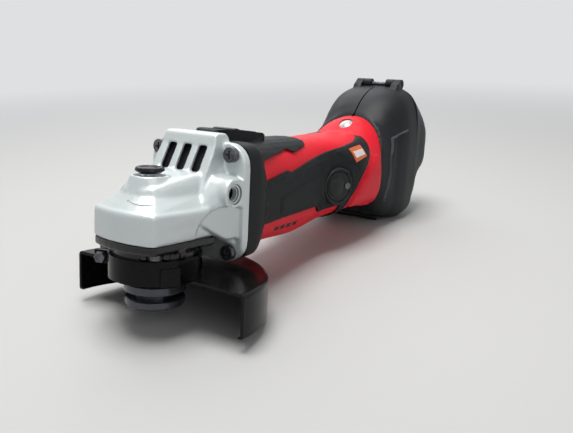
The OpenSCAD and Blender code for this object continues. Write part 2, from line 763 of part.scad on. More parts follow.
module gear_ring() {
    color("dimgray") translate([0, 0, web_top_z + 0.05]) difference() {
        tube(0.9, spindle_d / 2 + 0.8, spindle_d / 2 - 0.5);
        translate([0, -1.5, -cut]) cube([20, 3, 3]);
    }
}

module inner_flange() {
    color("dimgray") difference() {
        union() {
            cylinder(h = inner_flange_t - 0.6, r = flange_d / 2);
            translate([0, 0, inner_flange_t - 0.6])
                cylinder(h = 0.6, r1 = flange_d / 2, r2 = flange_d / 2 - 0.6);
            cylinder(h = bearing_z - 0.1, r = spindle_d / 2 + 2);
            translate([0, 0, -pilot_h]) cylinder(h = pilot_h, r = pilot_d / 2);
        }
        translate([0, 0, -pilot_h - cut]) cylinder(h = 20, r = thread_d / 2 + fit);
        cylinder(h = 40, r = spindle_d / 2 + fit / 2);
    }
}

module lock_nut() {
    r = flange_d / 2 - 0.5;
    round_r = 1.6;
    color("dimgray") difference() {
        union() {
            translate([0, 0, nut_bottom_z]) rotate_extrude() polygon(concat(
                [[0, 0]], arc(r - round_r, round_r, round_r, -90, 0, 6),
                [[r, lock_nut_t - 0.5], [r - 0.5, lock_nut_t], [0, lock_nut_t]]));
            translate([0, 0, nut_top_z]) cylinder(h = nut_hub_h, r = pilot_d / 2 + 2);
        }
        translate([0, 0, nut_bottom_z - cut]) cylinder(h = 20, r = thread_d / 2 + fit);
        translate([0, 0, nut_bottom_z - cut]) cylinder(h = 1.3 + cut, r = thread_d / 2 + 2.4);
        // Holes for the pin spanner
        for (a = [0:90:270]) {
            rotate([0, 0, a]) translate([flange_d / 2 - 4.6, 0, nut_bottom_z - cut])
                cylinder(h = 3.4 + cut, r = 2);
        }
    }
}

// ---------------------------------------------------------------- guard

module wheel_guard() {
    r = guard_d / 2;
    half = guard_angle / 2;
    bend = 2.4;
    skirt_top = guard_top_z - bend;
    gap_half = 6;
    ear_len = 9.5;
    band_out = band_r + band_t;
    profile = concat([[band_r, guard_plate_z], [r - bend, guard_plate_z]],
        [[r - guard_t, skirt_top], [r - guard_t, guard_lip - guard_drop],
         [r - guard_t - guard_lip, 0.5 - guard_drop], [r - guard_t - guard_lip, -guard_drop],
         [r - 0.6, -guard_drop], [r, 0.8 - guard_drop]],
        arc(r - bend, skirt_top, bend, 0, 90, 5), [[band_r, guard_top_z]]);
    color("#1c1a1a") difference() {
        union() {
            rotate([0, 0, -half]) rotate_extrude(angle = guard_angle, $fn = 96) polygon(profile);
            translate([0, 0, guard_plate_z]) tube(band_top_z - guard_plate_z, band_out, band_r);
            // Ears of the clamp
            for (s = [-1, 1]) {
                rotate([0, 0, clamp_dir]) translate([band_r + 0.3, s * 3.4 - 1.1, 11.4])
                    cube([ear_len, 2.2, 7]);
            }
            // Tab that keys the band to the neck
            rotate([0, 0, -118]) translate([band_r + 0.2, -5, guard_plate_z]) cube([band_t + 0.8, 10, 9]);
        }
        rotate([0, 0, clamp_dir]) translate([band_r - 3, -2.3, guard_plate_z - cut]) cube([16, 4.6, 20]);
        rotate([0, 0, clamp_dir]) translate([band_r + 6, 10, 14.9]) rotate([90, 0, 0])
            cylinder(h = 20, r = 1.6);
    }
}

module clamp_axis() {
    rotate([0, 0, clamp_dir]) translate([band_r + 6, 0, 14.9]) rotate([90, 0, 0]) children();
}

module guard_clamp_screw() {
    color("dimgray") clamp_axis() {
        translate([0, 0, -7]) cylinder(h = 11.5, r = 1.5);
        translate([0, 0, 4.5]) cylinder(h = 2.6, r = 2.9);
    }
}

module guard_clamp_nut() {
    color("dimgray") clamp_axis() translate([0, 0, -7.2]) difference() {
        cylinder(h = 2.6, r = 3.1, $fn = 6);
        translate([0, 0, -cut]) cylinder(h = 4, r = 1.5 + fit);
    }
}

// ---------------------------------------------------------------- spindle lock

module lock_button() {
    r = button_d / 2;
    color("#141416") translate([button_x, 0, button_z]) rotate_extrude()
        polygon(concat([[0, 0], [r, 0]], arc(r - 1.2, button_h - 1.2, 1.2, 0, 90, 5),
            [[r - 2.4, button_h - 0.5], [0, button_h - 0.5]]));
}

module lock_pin() {
    color("silver") translate([-lock_circle_r, 0, lock_tip_z])
        cylinder(h = button_z - lock_tip_z, r = lock_pin_d / 2);
}

module lock_spring() {
    color("lightsteelblue") translate([-lock_circle_r, 0, spring_floor_z + 0.1])
        tube(button_z - spring_floor_z - 0.2, lock_pin_d / 2 + 1.5, lock_pin_d / 2 + 0.4);
}

// ---------------------------------------------------------------- motor housing and grip

// Everything in front of the joint with the battery case, as a side view
module front_of_ring(shift = 0) {
    side_prism([[0, -20], [ring_x + shift, -20], [ring_x + shift, ring_knee_z],
        [ring_x + shift + ring_lean * (110 - ring_knee_z), 110], [0, 110]], -60, 60);
}

// Axis of the lamp, square to its ramp
module lamp_axis() {
    translate([lamp_x, 0, lamp_z]) rotate([0, -lamp_slope, 0]) children();
}

// Axis of a brush cover on the +Y side, pointing outwards
module brush_axis() {
    translate([brush_x, cover_seat_y, axis_z - 1]) rotate([0, 0, brush_cover_tilt]) rotate([-90, 0, 0])
        children();
}

module motor_housing() {
    color("#c8203a") difference() {
        intersection() {
            body_loft(housing_stations, 0, axis_z);
            front_of_ring();
        }
        // Fan chamber, step for the baffle, bore for the motor
        rod_x(flange_back_x - 5, baffle_x - flange_back_x + 5, fan_chamber_r);
        rod_x(baffle_x - 1, baffle_t + 1, fan_chamber_r + 0.3);
        rod_x(baffle_x, can_end_x - baffle_x + 0.2, can_d / 2 + fit);
        // Brush space and electronics space, with the bearing web between them
        intersection() {
            body_loft(housing_stations, -wall, axis_z, 24);
            union() {
                translate([can_end_x, -50, 0]) cube([web_x - can_end_x, 100, 120]);
                translate([web_x + web_t, -50, 0]) cube([80, 100, 120]);
            }
        }
        rod_x(web_x - cut, rear_bearing_w + 0.2 + cut, rear_bearing_d / 2 + fit);
        rod_x(web_x, 20, 5);
        // Channel for the switch bar, and the slot for its stem
        translate([stem_x - switch_travel - 0.8, -stem_half_w, bar_z - 0.4])
            cube([bar_end_x - stem_x + switch_travel + 3.8, 2 * stem_half_w, bar_h + 0.8]);
        translate([stem_x - switch_travel - 0.6, -stem_half_w - gap, bar_z])
            cube([stem_len + switch_travel + 1.2, 2 * (stem_half_w + gap), 20]);
        // Screw holes
        flange_screw_places() translate([flange_back_x, 0, 0]) rotate([0, 90, 0])
            cylinder(h = screw_depth, r = screw_d / 2 + fit);
        // Round openings for the brush covers, and their screws
        both_sides() brush_axis() translate([0, 0, cover_proud - cover_t - 0.02])
            cylinder(h = 12, r = brush_cover_d / 2 + 0.2);
        both_sides() brush_axis() translate([0, 0, -12]) cylinder(h = 20, r = brush_cover_d / 2 - 2.4);
        both_sides() cover_screw_axis() translate([0, 0, -8]) cylinder(h = 20, r = 1.1);
        // Lamp
        lamp_axis() translate([0, 0, -3.2]) cylinder(h = 12, r = lens_d / 2 + fit);
        // Air inlets under the collar
        for (k = [0:3]) {
            both_sides() translate([62 + 5 * k, 8, 10]) cube([2.4, 10, 12]);
        }
    }
}

// Side view of the soft grip: the collar with its front pad over the top, and the long
// side panel between the two bands of the hard housing
grip_top_outline = [[housing_front_x - cut, 90], [housing_front_x - cut, 0], [50.5, 0], [52, 22.8],
    [54, 29.5], [118, 31.6], [121.6, 27.4], [141.5, 30.2], [143.5, 24], [141.5, 14], [141.5, 0],
    [152, 0], [151, 16], [148.4, 26], [149.5, 34.5], [160.5, 49], [174, 62.5], [184, 73.4],
    [171.5, 71.4], [136, 66.4], [99.4, 59.2], [86, 56.2], [81, 57.8], [55.8, 53.6], [50.2, 64.4],
    [87.6, 69.6], [94.6, 67.4], [112, 70.4], [115.4, 72.6], [114.4, housing_top_z + grip_t], [114.4, 90]];

module grip_overmould() {
    color("#2b2b2e") difference() {
        union() {
            intersection() {
                difference() {
                    body_loft(housing_stations, grip_t, axis_z);
                    body_loft(housing_stations, 0, axis_z);
                }
                side_prism(grip_top_outline, -60, 60);
            }
            // Raised surround of the slide switch
            difference() {
                intersection() {
                    side_prism([[bezel_start_x, housing_top_z + 1.4], [bezel_end_x, housing_top_z + 0.6],
                        [bezel_end_x, 77.4], [bezel_end_x - 2, 78.6], [bezel_front_x + 6, 80.9],
                        [bezel_front_x, 81.3], [bezel_start_x + 1.7, 81.2], [bezel_start_x, 79.6]],
                        -bezel_half_w, bezel_half_w);
                    // Narrower in front, where it passes the louvres
                    linear_extrude(100) polygon([[bezel_start_x, 6.5], [bezel_start_x, -6.5],
                        [bezel_front_x + 0.5, -bezel_half_w], [bezel_end_x, -bezel_half_w],
                        [bezel_end_x, bezel_half_w], [bezel_front_x + 0.5, bezel_half_w]]);
                }
                body_loft(housing_stations, 0.01, axis_z);
            }
        }
        // Recess that the switch knob slides in
        translate([bezel_front_x, -knob_half_w - gap, knob_base_z - gap])
            cube([bezel_end_x - bezel_front_x - 3, 2 * (knob_half_w + gap), 20]);
        translate([stem_x - switch_travel - 0.6, -stem_half_w - gap, bar_z])
            cube([stem_len + switch_travel + 1.2, 2 * (stem_half_w + gap), 20]);
        both_sides() brush_axis() translate([0, 0, -6]) cylinder(h = 20, r = brush_cover_d / 2 + 0.2);
    }
}

// ---------------------------------------------------------------- brush covers

module cover_screw_axis() {
    brush_axis() translate([7.5, 0, cover_proud]) children();
}

module brush_cover() {
    r = brush_cover_d / 2;
    color("#232326") difference() {
        brush_axis() difference() {
            union() {
                translate([0, 0, cover_proud - cover_t]) cylinder(h = cover_t - 0.8, r = r);
                translate([0, 0, cover_proud - 0.8]) cylinder(h = 0.8, r1 = r, r2 = r - 0.8);
                translate([0, 0, cover_proud - cover_t - 2.6]) cylinder(h = 2.6, r = r - 2.6);
            }
            translate([0, 0, cover_proud - cover_t - 2.6 - cut]) cylinder(h = 2.6 + cut, r = r - 4.4);
            translate([0, 0, cover_proud - 0.7]) tube(2, r - 2.2, r - 3);
        }
        cover_screw_axis() translate([0, 0, -6]) cylinder(h = 10, r = 1.3);
        cover_screw_axis() translate([0, 0, -0.9]) cylinder(h = 4, r = 2.5);
    }
}

module brush_cover_right() {
    brush_cover();
}

module brush_cover_left() {
    mirror([0, 1, 0]) brush_cover();
}

module brush_cover_screws() {
    color("silver") both_sides() cover_screw_axis() {
        translate([0, 0, -0.9]) cylinder(h = 1.4, r = 2.3);
        translate([0, 0, -2.4]) cylinder(h = 1.6, r = 1);
    }
}

// ---------------------------------------------------------------- motor

module front_bearing() {
    color("lightsteelblue") translate([front_bearing_x, 0, axis_z]) rotate([0, 90, 0])
        tube(front_bearing_w - 0.1, front_bearing_d / 2, shaft_d / 2 + fit);
}

module bearing_retainer() {
    color("silver") translate([front_bearing_x + front_bearing_w, 0, axis_z]) rotate([0, 90, 0])
        tube(retainer_t, front_bearing_d / 2 + 3.9, shaft_d / 2 + 2);
}

module rear_bearing() {
    color("lightsteelblue") translate([web_x, 0, axis_z]) rotate([0, 90, 0])
        tube(rear_bearing_w, rear_bearing_d / 2, rear_journal_d / 2 + fit);
}

module fan_baffle() {
    color("#202024") translate([baffle_x - 0.1, 0, axis_z]) rotate([0, 90, 0])
        tube(baffle_t, fan_chamber_r + 0.2, fan_d / 2 - 7);
}

module rotor_shaft() {
    toe_x = pinion_toe_x - 0.6;
    color("silver") {
        rod_x(toe_x, web_x + rear_bearing_w - toe_x, 2.4);
        difference() {
            rod_x(crown_r + 2.6, web_x - crown_r - 2.8, shaft_d / 2);
            rod_x(crown_r, web_x, 2.4);
        }
        difference() {
            rod_x(web_x - 1, rear_bearing_w + 0.8, rear_journal_d / 2);
            rod_x(crown_r, web_x, 2.4);
        }
    }
}

module cooling_fan() {
    blade_t = 1.2;
    hub_r = shaft_d / 2 + 4;
    color("#303034") translate([fan_x, 0, axis_z]) rotate([0, 90, 0]) difference() {
        union() {
            translate([0, 0, fan_w - 1.6]) cylinder(h = 1.6, r = fan_d / 2);
            cylinder(h = fan_w, r = hub_r);
            for (k = [0:fan_blades - 1]) {
                rotate([0, 0, k * 360 / fan_blades]) translate([hub_r - 1, 0, 0]) rotate([0, 0, 18])
                    cube([fan_d / 2 - hub_r - 1.4, blade_t, fan_w]);
            }
        }
        translate([0, 0, -cut]) cylinder(h = fan_w + 2 * cut, r = shaft_d / 2 + fit / 2);
    }
}

module armature_core() {
    slots = 12;
    color("slategray") translate([armature_x, 0, axis_z]) rotate([0, 90, 0]) difference() {
        tube(armature_len, armature_d / 2, shaft_d / 2 + fit / 2);
        for (k = [0:slots - 1]) {
            rotate([0, 0, k * 360 / slots]) translate([armature_d / 2 - 3, -0.9, -cut])
                cube([6, 1.8, armature_len + 2 * cut]);
        }
    }
}

module armature_windings() {
    color("#b5651d") for (x = [armature_x - 7.1, armature_x + armature_len + 0.1]) {
        translate([x, 0, axis_z]) rotate([0, 90, 0]) tube(7, armature_d / 2 - 2, shaft_d / 2 + fit / 2);
    }
}

module commutator() {
    color("peru") translate([commutator_x, 0, axis_z]) rotate([0, 90, 0]) difference() {
        union() {
            tube(commutator_len, commutator_d / 2, shaft_d / 2 + fit / 2);
            translate([0, 0, 0]) tube(2.4, commutator_d / 2 + 1.4, shaft_d / 2 + fit / 2);
        }
        for (k = [0:11]) {
            rotate([0, 0, k * 30]) translate([commutator_d / 2 - 0.8, -0.3, -cut])
                cube([6, 0.6, commutator_len + 2 * cut]);
        }
    }
}

module motor_can() {
    color("gray") translate([can_x, 0, axis_z]) rotate([0, 90, 0]) difference() {
        cylinder(h = can_len, r = can_d / 2);
        translate([0, 0, -cut]) cylinder(h = can_len + 2 * cut, r = can_d / 2 - can_wall);
    }
}

module field_magnets() {
    r_in = armature_d / 2 + magnet_gap;
    r_out = can_d / 2 - can_wall - fit;
    color("#404048") for (a = [25, 205]) {
        translate([armature_x, 0, axis_z]) rotate([0, 90, 0]) rotate([0, 0, a])
            rotate_extrude(angle = 130) translate([r_in, 0]) square([r_out - r_in, armature_len]);
    }
}

// Brush gear in the +Y half, mirrored for the other brush
brush_w = 8;
brush_h = 6;
brush_tip_y = commutator_d / 2 + gap;
holder_y = commutator_d / 2 + 1.8;
holder_len = 9.4;

module brush_holders() {
    color("#6b5a34") both_sides() difference() {
        translate([brush_x - brush_w / 2 - 2, holder_y, axis_z - brush_h / 2 - 2])
            cube([web_x - brush_x + brush_w / 2 + 2 - 0.1, holder_len, brush_h + 4]);
        translate([brush_x - brush_w / 2 - 0.1, holder_y - cut, axis_z - brush_h / 2 - 0.1])
            cube([brush_w + 0.2, holder_len + 2 * cut, brush_h + 0.2]);
    }
}

module carbon_brushes() {
    color("#26262a") both_sides()
        translate([brush_x - brush_w / 2, brush_tip_y, axis_z - brush_h / 2]) cube([brush_w, 8, brush_h]);
}

module brush_springs() {
    color("peru") both_sides() rod_y(brush_x, axis_z, brush_tip_y + 8.1, brush_tip_y + 10.8, 2.4);
}

// ---------------------------------------------------------------- slide switch

module switch_knob() {
    top_front = 81.1;
    top_rear = 79.2;
    x1 = knob_x + knob_len;
    color("#17171a") {
        difference() {
            side_prism([[knob_x, knob_base_z], [x1, knob_base_z], [x1, top_rear], [knob_x + 6, top_front - 0.5],
                [knob_x + 2.5, top_front + 0.4], [knob_x, top_front]], -knob_half_w, knob_half_w);
            // Grip grooves
            for (k = [0:4]) {
                translate([knob_x + 5 + 2.8 * k, -knob_half_w - cut, 79.6 - 0.25 * k])
                    cube([1.2, 2 * knob_half_w + 2 * cut, 5]);
            }
        }
        translate([stem_x, -stem_half_w, bar_z + bar_h + 0.1])
            cube([stem_len, 2 * stem_half_w, knob_base_z - bar_z - bar_h - 0.1]);
    }
}

module switch_bar() {
    color("#3a3a3e") difference() {
        translate([stem_x, -stem_half_w + 0.4, bar_z]) cube([bar_end_x - stem_x, 2 * stem_half_w - 0.8, bar_h]);
        translate([stem_x + stem_len + 6, -1, bar_z - cut]) cube([40, 2, bar_h + 2 * cut]);
    }
}

module switch_body() {
    color("#1b2b3a") difference() {
        translate([switch_x, -8, 59]) cube([18, 16, 11.4]);
        translate([switch_x - cut, -1, 61]) cube([6, 2, 4]);
    }
}

module controller_board() {
    x = web_x + web_t + 0.2;
    board_half_w = waist_half_w - 7;
    color("darkgreen") {
        translate([x, -board_half_w, axis_z - board_half_w]) cube([1.6, 2 * board_half_w, board_half_w + 7]);
        for (y = [-12, -2, 8]) {
            translate([x + 1.6, y, 34]) cube([4, 7, 10]);
        }
        translate([x + 1.6, 3, 29]) rotate([0, 90, 0]) cylinder(h = 9, r = 2.2);
    }
}

// ---------------------------------------------------------------- lamp

module lamp_lens() {
    r = lens_d / 2;
    color("gainsboro") lamp_axis() translate([0, 0, -3]) rotate_extrude()
        polygon(concat([[0, 0], [r, 0], [r, 2.6]], arc(0, -5.4, norm([r, 8]), 57, 90, 6)));
}

module lamp_led() {
    color("khaki") lamp_axis() {
        translate([0, 0, -5]) cylinder(h = 1.9, r = 2.2);
        translate([0, 0, -6.4]) cylinder(h = 1.4, r = 4);
    }
}

// ---------------------------------------------------------------- battery case

module case_shell() {
    difference() {
        body_loft(case_stations, 0, case_mid_z);
        front_of_ring(gap / 3);
        intersection() {
            body_loft(case_stations, -wall, case_mid_z, 28);
            translate([case_inner_x, -60, 0]) cube([80, 120, 120]);
        }
        // Way through for the wires
        rod_x(ring_x - 10, 30, 9);
        // Recess for the latch
        translate([latch_x - 3.4, -latch_w / 2 - gap, 0]) cube([60, latch_w + 2 * gap, latch_recess_z]);
        // Room for the cover's knuckles
        both_sides() rod_y(hinge_x, hinge_z, knuckle_in - gap, knuckle_mid, knuckle_d / 2 + gap);
        rod_y(hinge_x, hinge_z, -knuckle_out, knuckle_out, hinge_pin_d / 2 + fit);
        rod_y(latch_x, latch_z, -30, 30, latch_pin_r + fit);
        case_screw_places(-case_screw_y, 60, 1.7);
    }
    // Rails that carry the battery
    both_sides() difference() {
        side_prism([[battery_x + 3, battery_z - gap], [battery_x + 3, 15], [latch_x + 5, 11.4],
            [battery_x + 32, 10.2], [battery_x + 32, battery_z - gap]], rail_y, rail_y + 4);
        rod_y(latch_x, latch_z, -60, 60, latch_pin_r + fit);
    }
    // Knuckles beside the cover's, each on an arm from the top of the case
    both_sides() difference() {
        union() {
            rod_y(hinge_x, hinge_z, knuckle_mid + gap / 2, knuckle_out, knuckle_d / 2);
            side_prism([[cover_joint_x - 9, hinge_z - 9], [cover_joint_x, hinge_z - 11],
                [cover_joint_x, hinge_z - 2], [hinge_x - 1.5, hinge_z + knuckle_d / 2 - 0.3],
                [cover_joint_x - 5, hinge_z - 1]], knuckle_mid + gap / 2, knuckle_out);
        }
        rod_y(hinge_x, hinge_z, -60, 60, hinge_pin_d / 2 + fit);
    }
    // Knuckles of the latch
    both_sides() difference() {
        rod_y(latch_x, latch_z, latch_w / 2 + gap, latch_w / 2 + 7.5, latch_knuckle_r);
        rod_y(latch_x, latch_z, -60, 60, latch_pin_r + fit);
    }
}

module case_screw_places(y0, y1, r) {
    for (z = [30, 51]) {
        rod_y(ring_x + 4.2, z, y0, y1, r);
    }
}

module rear_case_left() {
    color("#2a2a2c") intersection() {
        case_shell();
        translate([150, -60, -10]) cube([150, 60, 140]);
    }
}

module rear_case_right() {
    color("#2a2a2c") difference() {
        intersection() {
            case_shell();
            translate([150, 0, -10]) cube([150, 60, 140]);
        }
        case_screw_places(case_seat_y, 60, 3.4);
    }
}

module rear_case_screws() {
    color("dimgray") {
        case_screw_places(0.5 - case_screw_y, case_seat_y, 1.6);
        case_screw_places(case_seat_y, case_seat_y + 2.2, 3);
    }
}

module terminal_block() {
    z = 36;
    color("#2f2f33") {
        difference() {
            translate([case_inner_x + 0.2, -14, z]) cube([4, 28, 20]);
            rod_x(case_inner_x - 2, 10, 4);
        }
        for (y = [-11, -6, 5, 10]) {
            translate([case_inner_x + 4.2, y, z + 4]) cube([1.4, 1, 10]);
        }
    }
}

module battery_pack() {
    color("#3d3d42") difference() {
        translate([battery_x, 0, battery_z + battery_h / 2]) rotate([0, 90, 0])
            linear_extrude(battery_len) chamfered(battery_h / 2, battery_half_w, 6);
        translate([battery_x + battery_len - 1.5, -12, battery_z + 12]) cube([4, 24, 4]);
    }
}

// ---------------------------------------------------------------- rear cover

module battery_cover() {
    inner = [for (st = cover_stations) [st[0] - (st[0] > cover_face_x ? wall : cut), st[1], st[2], st[3],
        st[4], st[5]]];
    color("#262628") {
        difference() {
            body_loft(cover_stations, 0, case_mid_z + 8);
            body_loft(inner, -wall, case_mid_z + 8, 28);
            both_sides() rod_y(hinge_x, hinge_z, knuckle_mid - gap / 2, knuckle_out + gap, knuckle_d / 2 + gap);
            rod_y(hinge_x, hinge_z, -knuckle_in, knuckle_in, knuckle_d / 2);
            both_sides() rod_y(hinge_x, hinge_z, 0, knuckle_mid, hinge_pin_d / 2 + fit);
        }
        both_sides() difference() {
            union() {
                rod_y(hinge_x, hinge_z, knuckle_in, knuckle_mid - gap / 2, knuckle_d / 2);
                side_prism([[cover_face_x + 0.4, hinge_z - 2.4], [cover_face_x + 0.4, hinge_z - 7],
                    [cover_face_x + 5, hinge_z - 9], [hinge_x + knuckle_d / 2 - 0.3, hinge_z - 1]],
                    knuckle_in, knuckle_mid - gap / 2);
            }
            rod_y(hinge_x, hinge_z, -60, 60, hinge_pin_d / 2 + fit);
        }
    }
}

module cover_hinge_pin() {
    color("dimgray") rod_y(hinge_x, hinge_z, -knuckle_out + 0.5, knuckle_out - 0.5, hinge_pin_d / 2);
}

module cover_latch() {
    half = latch_w / 2;
    r = latch_knuckle_r - 0.3;
    end_z = 10.6;
    color("#1f1f22") difference() {
        union() {
            rod_y(latch_x, latch_z, -half, half, r);
            side_prism([[latch_x, latch_z - r], [latch_end_x - 5, end_z - 0.6], [latch_end_x, end_z],
                [latch_end_x, end_z + 1.4], [latch_x, latch_z + r - 0.2]], -half, half);
        }
        rod_y(latch_x, latch_z, -half - cut, half + cut, latch_pin_r + fit);
    }
}

module latch_pin() {
    half = latch_w / 2 + 7;
    color("dimgray") rod_y(latch_x, latch_z, -half, half, latch_pin_r);
}

gear_case();
gear_case_screws();
bearing_box();
bearing_box_screws();
spindle_bearing();
needle_bush();
dust_seal();
spindle();
crown_gear();
gear_ring();
inner_flange();
lock_nut();
wheel_guard();
guard_clamp_screw();
guard_clamp_nut();
lock_button();
lock_pin();
lock_spring();
motor_housing();
grip_overmould();
front_bearing();
rear_bearing();
bearing_retainer();
fan_baffle();
rotor_shaft();
pinion();
cooling_fan();
armature_core();
armature_windings();
commutator();
motor_can();
field_magnets();
brush_holders();
carbon_brushes();
brush_springs();
brush_cover_left();
brush_cover_right();
brush_cover_screws();
switch_knob();
switch_bar();
switch_body();
controller_board();
lamp_lens();
lamp_led();
rear_case_left();
rear_case_right();
rear_case_screws();
terminal_block();
battery_pack();
battery_cover();
cover_hinge_pin();
cover_latch();
latch_pin();
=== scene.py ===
# %% [markdown]
# # Cordless angle grinder
# The exact solids of the grinder are already packed as a fixed frame: every
# part sits where the machine holds it, in metres, and rides on the body that
# moves it. This lesson dresses that frame. Parts whose shape is right get a
# finish, and the moulded and cast skins are remade here with softer edges.

# %% Load the frame
import json
import math

import bmesh
import bpy
from mathutils import Matrix, Vector
from mathutils.bvhtree import BVHTree

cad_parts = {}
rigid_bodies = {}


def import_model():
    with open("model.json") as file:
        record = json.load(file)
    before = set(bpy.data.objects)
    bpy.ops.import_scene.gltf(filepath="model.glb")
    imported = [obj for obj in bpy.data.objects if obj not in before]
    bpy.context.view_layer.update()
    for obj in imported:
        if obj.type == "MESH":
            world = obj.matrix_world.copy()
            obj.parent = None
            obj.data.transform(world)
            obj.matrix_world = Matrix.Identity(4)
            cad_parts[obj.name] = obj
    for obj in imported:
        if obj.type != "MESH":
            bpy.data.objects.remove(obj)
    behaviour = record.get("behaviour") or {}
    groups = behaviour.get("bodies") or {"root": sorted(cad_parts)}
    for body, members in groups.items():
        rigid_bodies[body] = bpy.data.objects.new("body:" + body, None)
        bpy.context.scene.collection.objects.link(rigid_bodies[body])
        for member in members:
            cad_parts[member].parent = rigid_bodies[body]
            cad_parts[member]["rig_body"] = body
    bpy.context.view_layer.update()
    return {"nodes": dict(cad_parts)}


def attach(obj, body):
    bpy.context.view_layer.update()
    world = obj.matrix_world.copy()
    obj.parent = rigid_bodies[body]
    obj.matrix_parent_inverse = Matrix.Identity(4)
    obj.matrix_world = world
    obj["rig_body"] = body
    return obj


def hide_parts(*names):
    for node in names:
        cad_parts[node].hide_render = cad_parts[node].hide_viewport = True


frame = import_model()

MM = 0.001
nodes = frame["nodes"]
scene = bpy.context.scene
print("parts in the frame:", len(nodes))

# %% [markdown]
# ## Camera
# The machine lies on its guard and on the heel of its battery cover, and is
# seen from the left of its nose. The camera is placed by its own three angles
# and its matrix is built from the three directions they give.

# %% Camera
CAMERA_AT = Vector((-236.9, -236.5, 107.5)) * MM
YAW, PITCH, ROLL = (math.radians(a) for a in (33.47, 11.44, 2.89))
LENS_MM, SENSOR_MM = 41.25, 36.0
SEES_FROM, SEES_TO = 0.01, 20.0

ahead = Vector((math.cos(PITCH) * math.cos(YAW), math.cos(PITCH) * math.sin(YAW), -math.sin(PITCH)))
level = ahead.cross(Vector((0, 0, 1))).normalized()
above = level.cross(ahead)
side = level * math.cos(ROLL) + above * math.sin(ROLL)
top = above * math.cos(ROLL) - level * math.sin(ROLL)

camera = bpy.data.objects.new("camera", bpy.data.cameras.new("camera"))
camera.data.sensor_width = SENSOR_MM
camera.data.lens = LENS_MM
camera.data.clip_start, camera.data.clip_end = SEES_FROM, SEES_TO
camera.matrix_world = Matrix((
    (side.x, top.x, -ahead.x, CAMERA_AT.x),
    (side.y, top.y, -ahead.y, CAMERA_AT.y),
    (side.z, top.z, -ahead.z, CAMERA_AT.z),
    (0, 0, 0, 1)))
scene.collection.objects.link(camera)
scene.camera = camera
scene.view_settings.view_transform = "Standard"
print("camera at", tuple(round(v, 3) for v in CAMERA_AT))

# %% [markdown]
# ## Floor and light
# The floor leans a little in the machine's own frame, because the rim of the
# guard reaches lower than the heel of the battery cover, and both stand on it.
# Three large soft lamps and a pale world light the object at a plain level, so
# a finish renders about as its colour is written. Far from the object the floor
# fades into the glow of the backdrop, but only for the rays that show it, so
# the glow itself lights nothing.

# %% Floor
GUARD_FOOT = Vector((58.4, 0, -13.45)) * MM
CASE_HEEL = Vector((248, 0, 10.55)) * MM
FLOOR_SIZE, FLOOR_CELLS = 6.0, 8

floor_slope = math.atan2(CASE_HEEL.z - GUARD_FOOT.z, CASE_HEEL.x - GUARD_FOOT.x)
floor_mesh = bmesh.new()
bmesh.ops.create_grid(floor_mesh, x_segments=FLOOR_CELLS, y_segments=FLOOR_CELLS,
                      size=FLOOR_SIZE / 2)
lean = Matrix.Translation(GUARD_FOOT) @ Matrix.Rotation(-floor_slope, 4, "Y")
bmesh.ops.transform(floor_mesh, matrix=lean, verts=floor_mesh.verts)
floor = bpy.data.objects.new("studio_floor", bpy.data.meshes.new("studio_floor"))
floor_mesh.to_mesh(floor.data)
floor_mesh.free()
scene.collection.objects.link(floor)
print("floor leans", round(math.degrees(floor_slope), 2), "degrees")

# %% Small helpers for node trees
def node_graph(block):
    """The empty node tree of a material or world."""
    block.use_nodes = True
    block.node_tree.nodes.clear()
    return block.node_tree


def add_node(tree, kind, inputs=(), **settings):
    """A new node, with its settings and the plain values of its inputs."""
    node = tree.nodes.new("ShaderNode" + kind)
    for setting, value in settings.items():
        setattr(node, setting, value)
    for socket, value in dict(inputs).items():
        node.inputs[socket].default_value = value
    return node


def seen_rays(tree):
    """1 for the rays that show the backdrop: to the camera, off gloss, through glass."""
    paths = add_node(tree, "LightPath")
    most = paths.outputs["Is Camera Ray"]
    for kind in ("Is Glossy Ray", "Is Transmission Ray"):
        either = add_node(tree, "Math", operation="MAXIMUM")
        tree.links.new(most, either.inputs[0])
        tree.links.new(paths.outputs[kind], either.inputs[1])
        most = either.outputs[0]
    return most


# %% Floor finish
FLOOR_COLOUR, FLOOR_ROUGH, FLOOR_GLOSS = (0.58, 0.58, 0.575, 1), 0.9, 0.1
BACKDROP, BACKDROP_LEVEL = (0.97, 0.98, 1.0, 1), 0.76
NEAR, FAR = 0.40, 1.30

floor_paint = bpy.data.materials.new("studio_floor")
tree = node_graph(floor_paint)
link = tree.links.new
floor_shader = add_node(tree, "BsdfPrincipled", {
    "Base Color": FLOOR_COLOUR, "Roughness": FLOOR_ROUGH, "Specular IOR Level": FLOOR_GLOSS})
place = add_node(tree, "TexCoord")
reach = add_node(tree, "VectorMath", operation="LENGTH")
link(place.outputs["Object"], reach.inputs[0])
fade = add_node(tree, "MapRange", {"From Min": NEAR, "From Max": FAR}, interpolation_type="SMOOTHSTEP")
link(reach.outputs["Value"], fade.inputs["Value"])
share = add_node(tree, "Math", operation="MULTIPLY")
link(fade.outputs[0], share.inputs[0])
link(seen_rays(tree), share.inputs[1])
glow = add_node(tree, "Emission", {"Color": BACKDROP, "Strength": BACKDROP_LEVEL})
both = add_node(tree, "MixShader")
link(share.outputs[0], both.inputs["Fac"])
link(floor_shader.outputs[0], both.inputs[1])
link(glow.outputs[0], both.inputs[2])
link(both.outputs[0], add_node(tree, "OutputMaterial").inputs[0])
floor.data.materials.append(floor_paint)
print("the floor fades from", NEAR, "to", FAR, "m")

# %% World
WORLD_LEVEL = 0.20

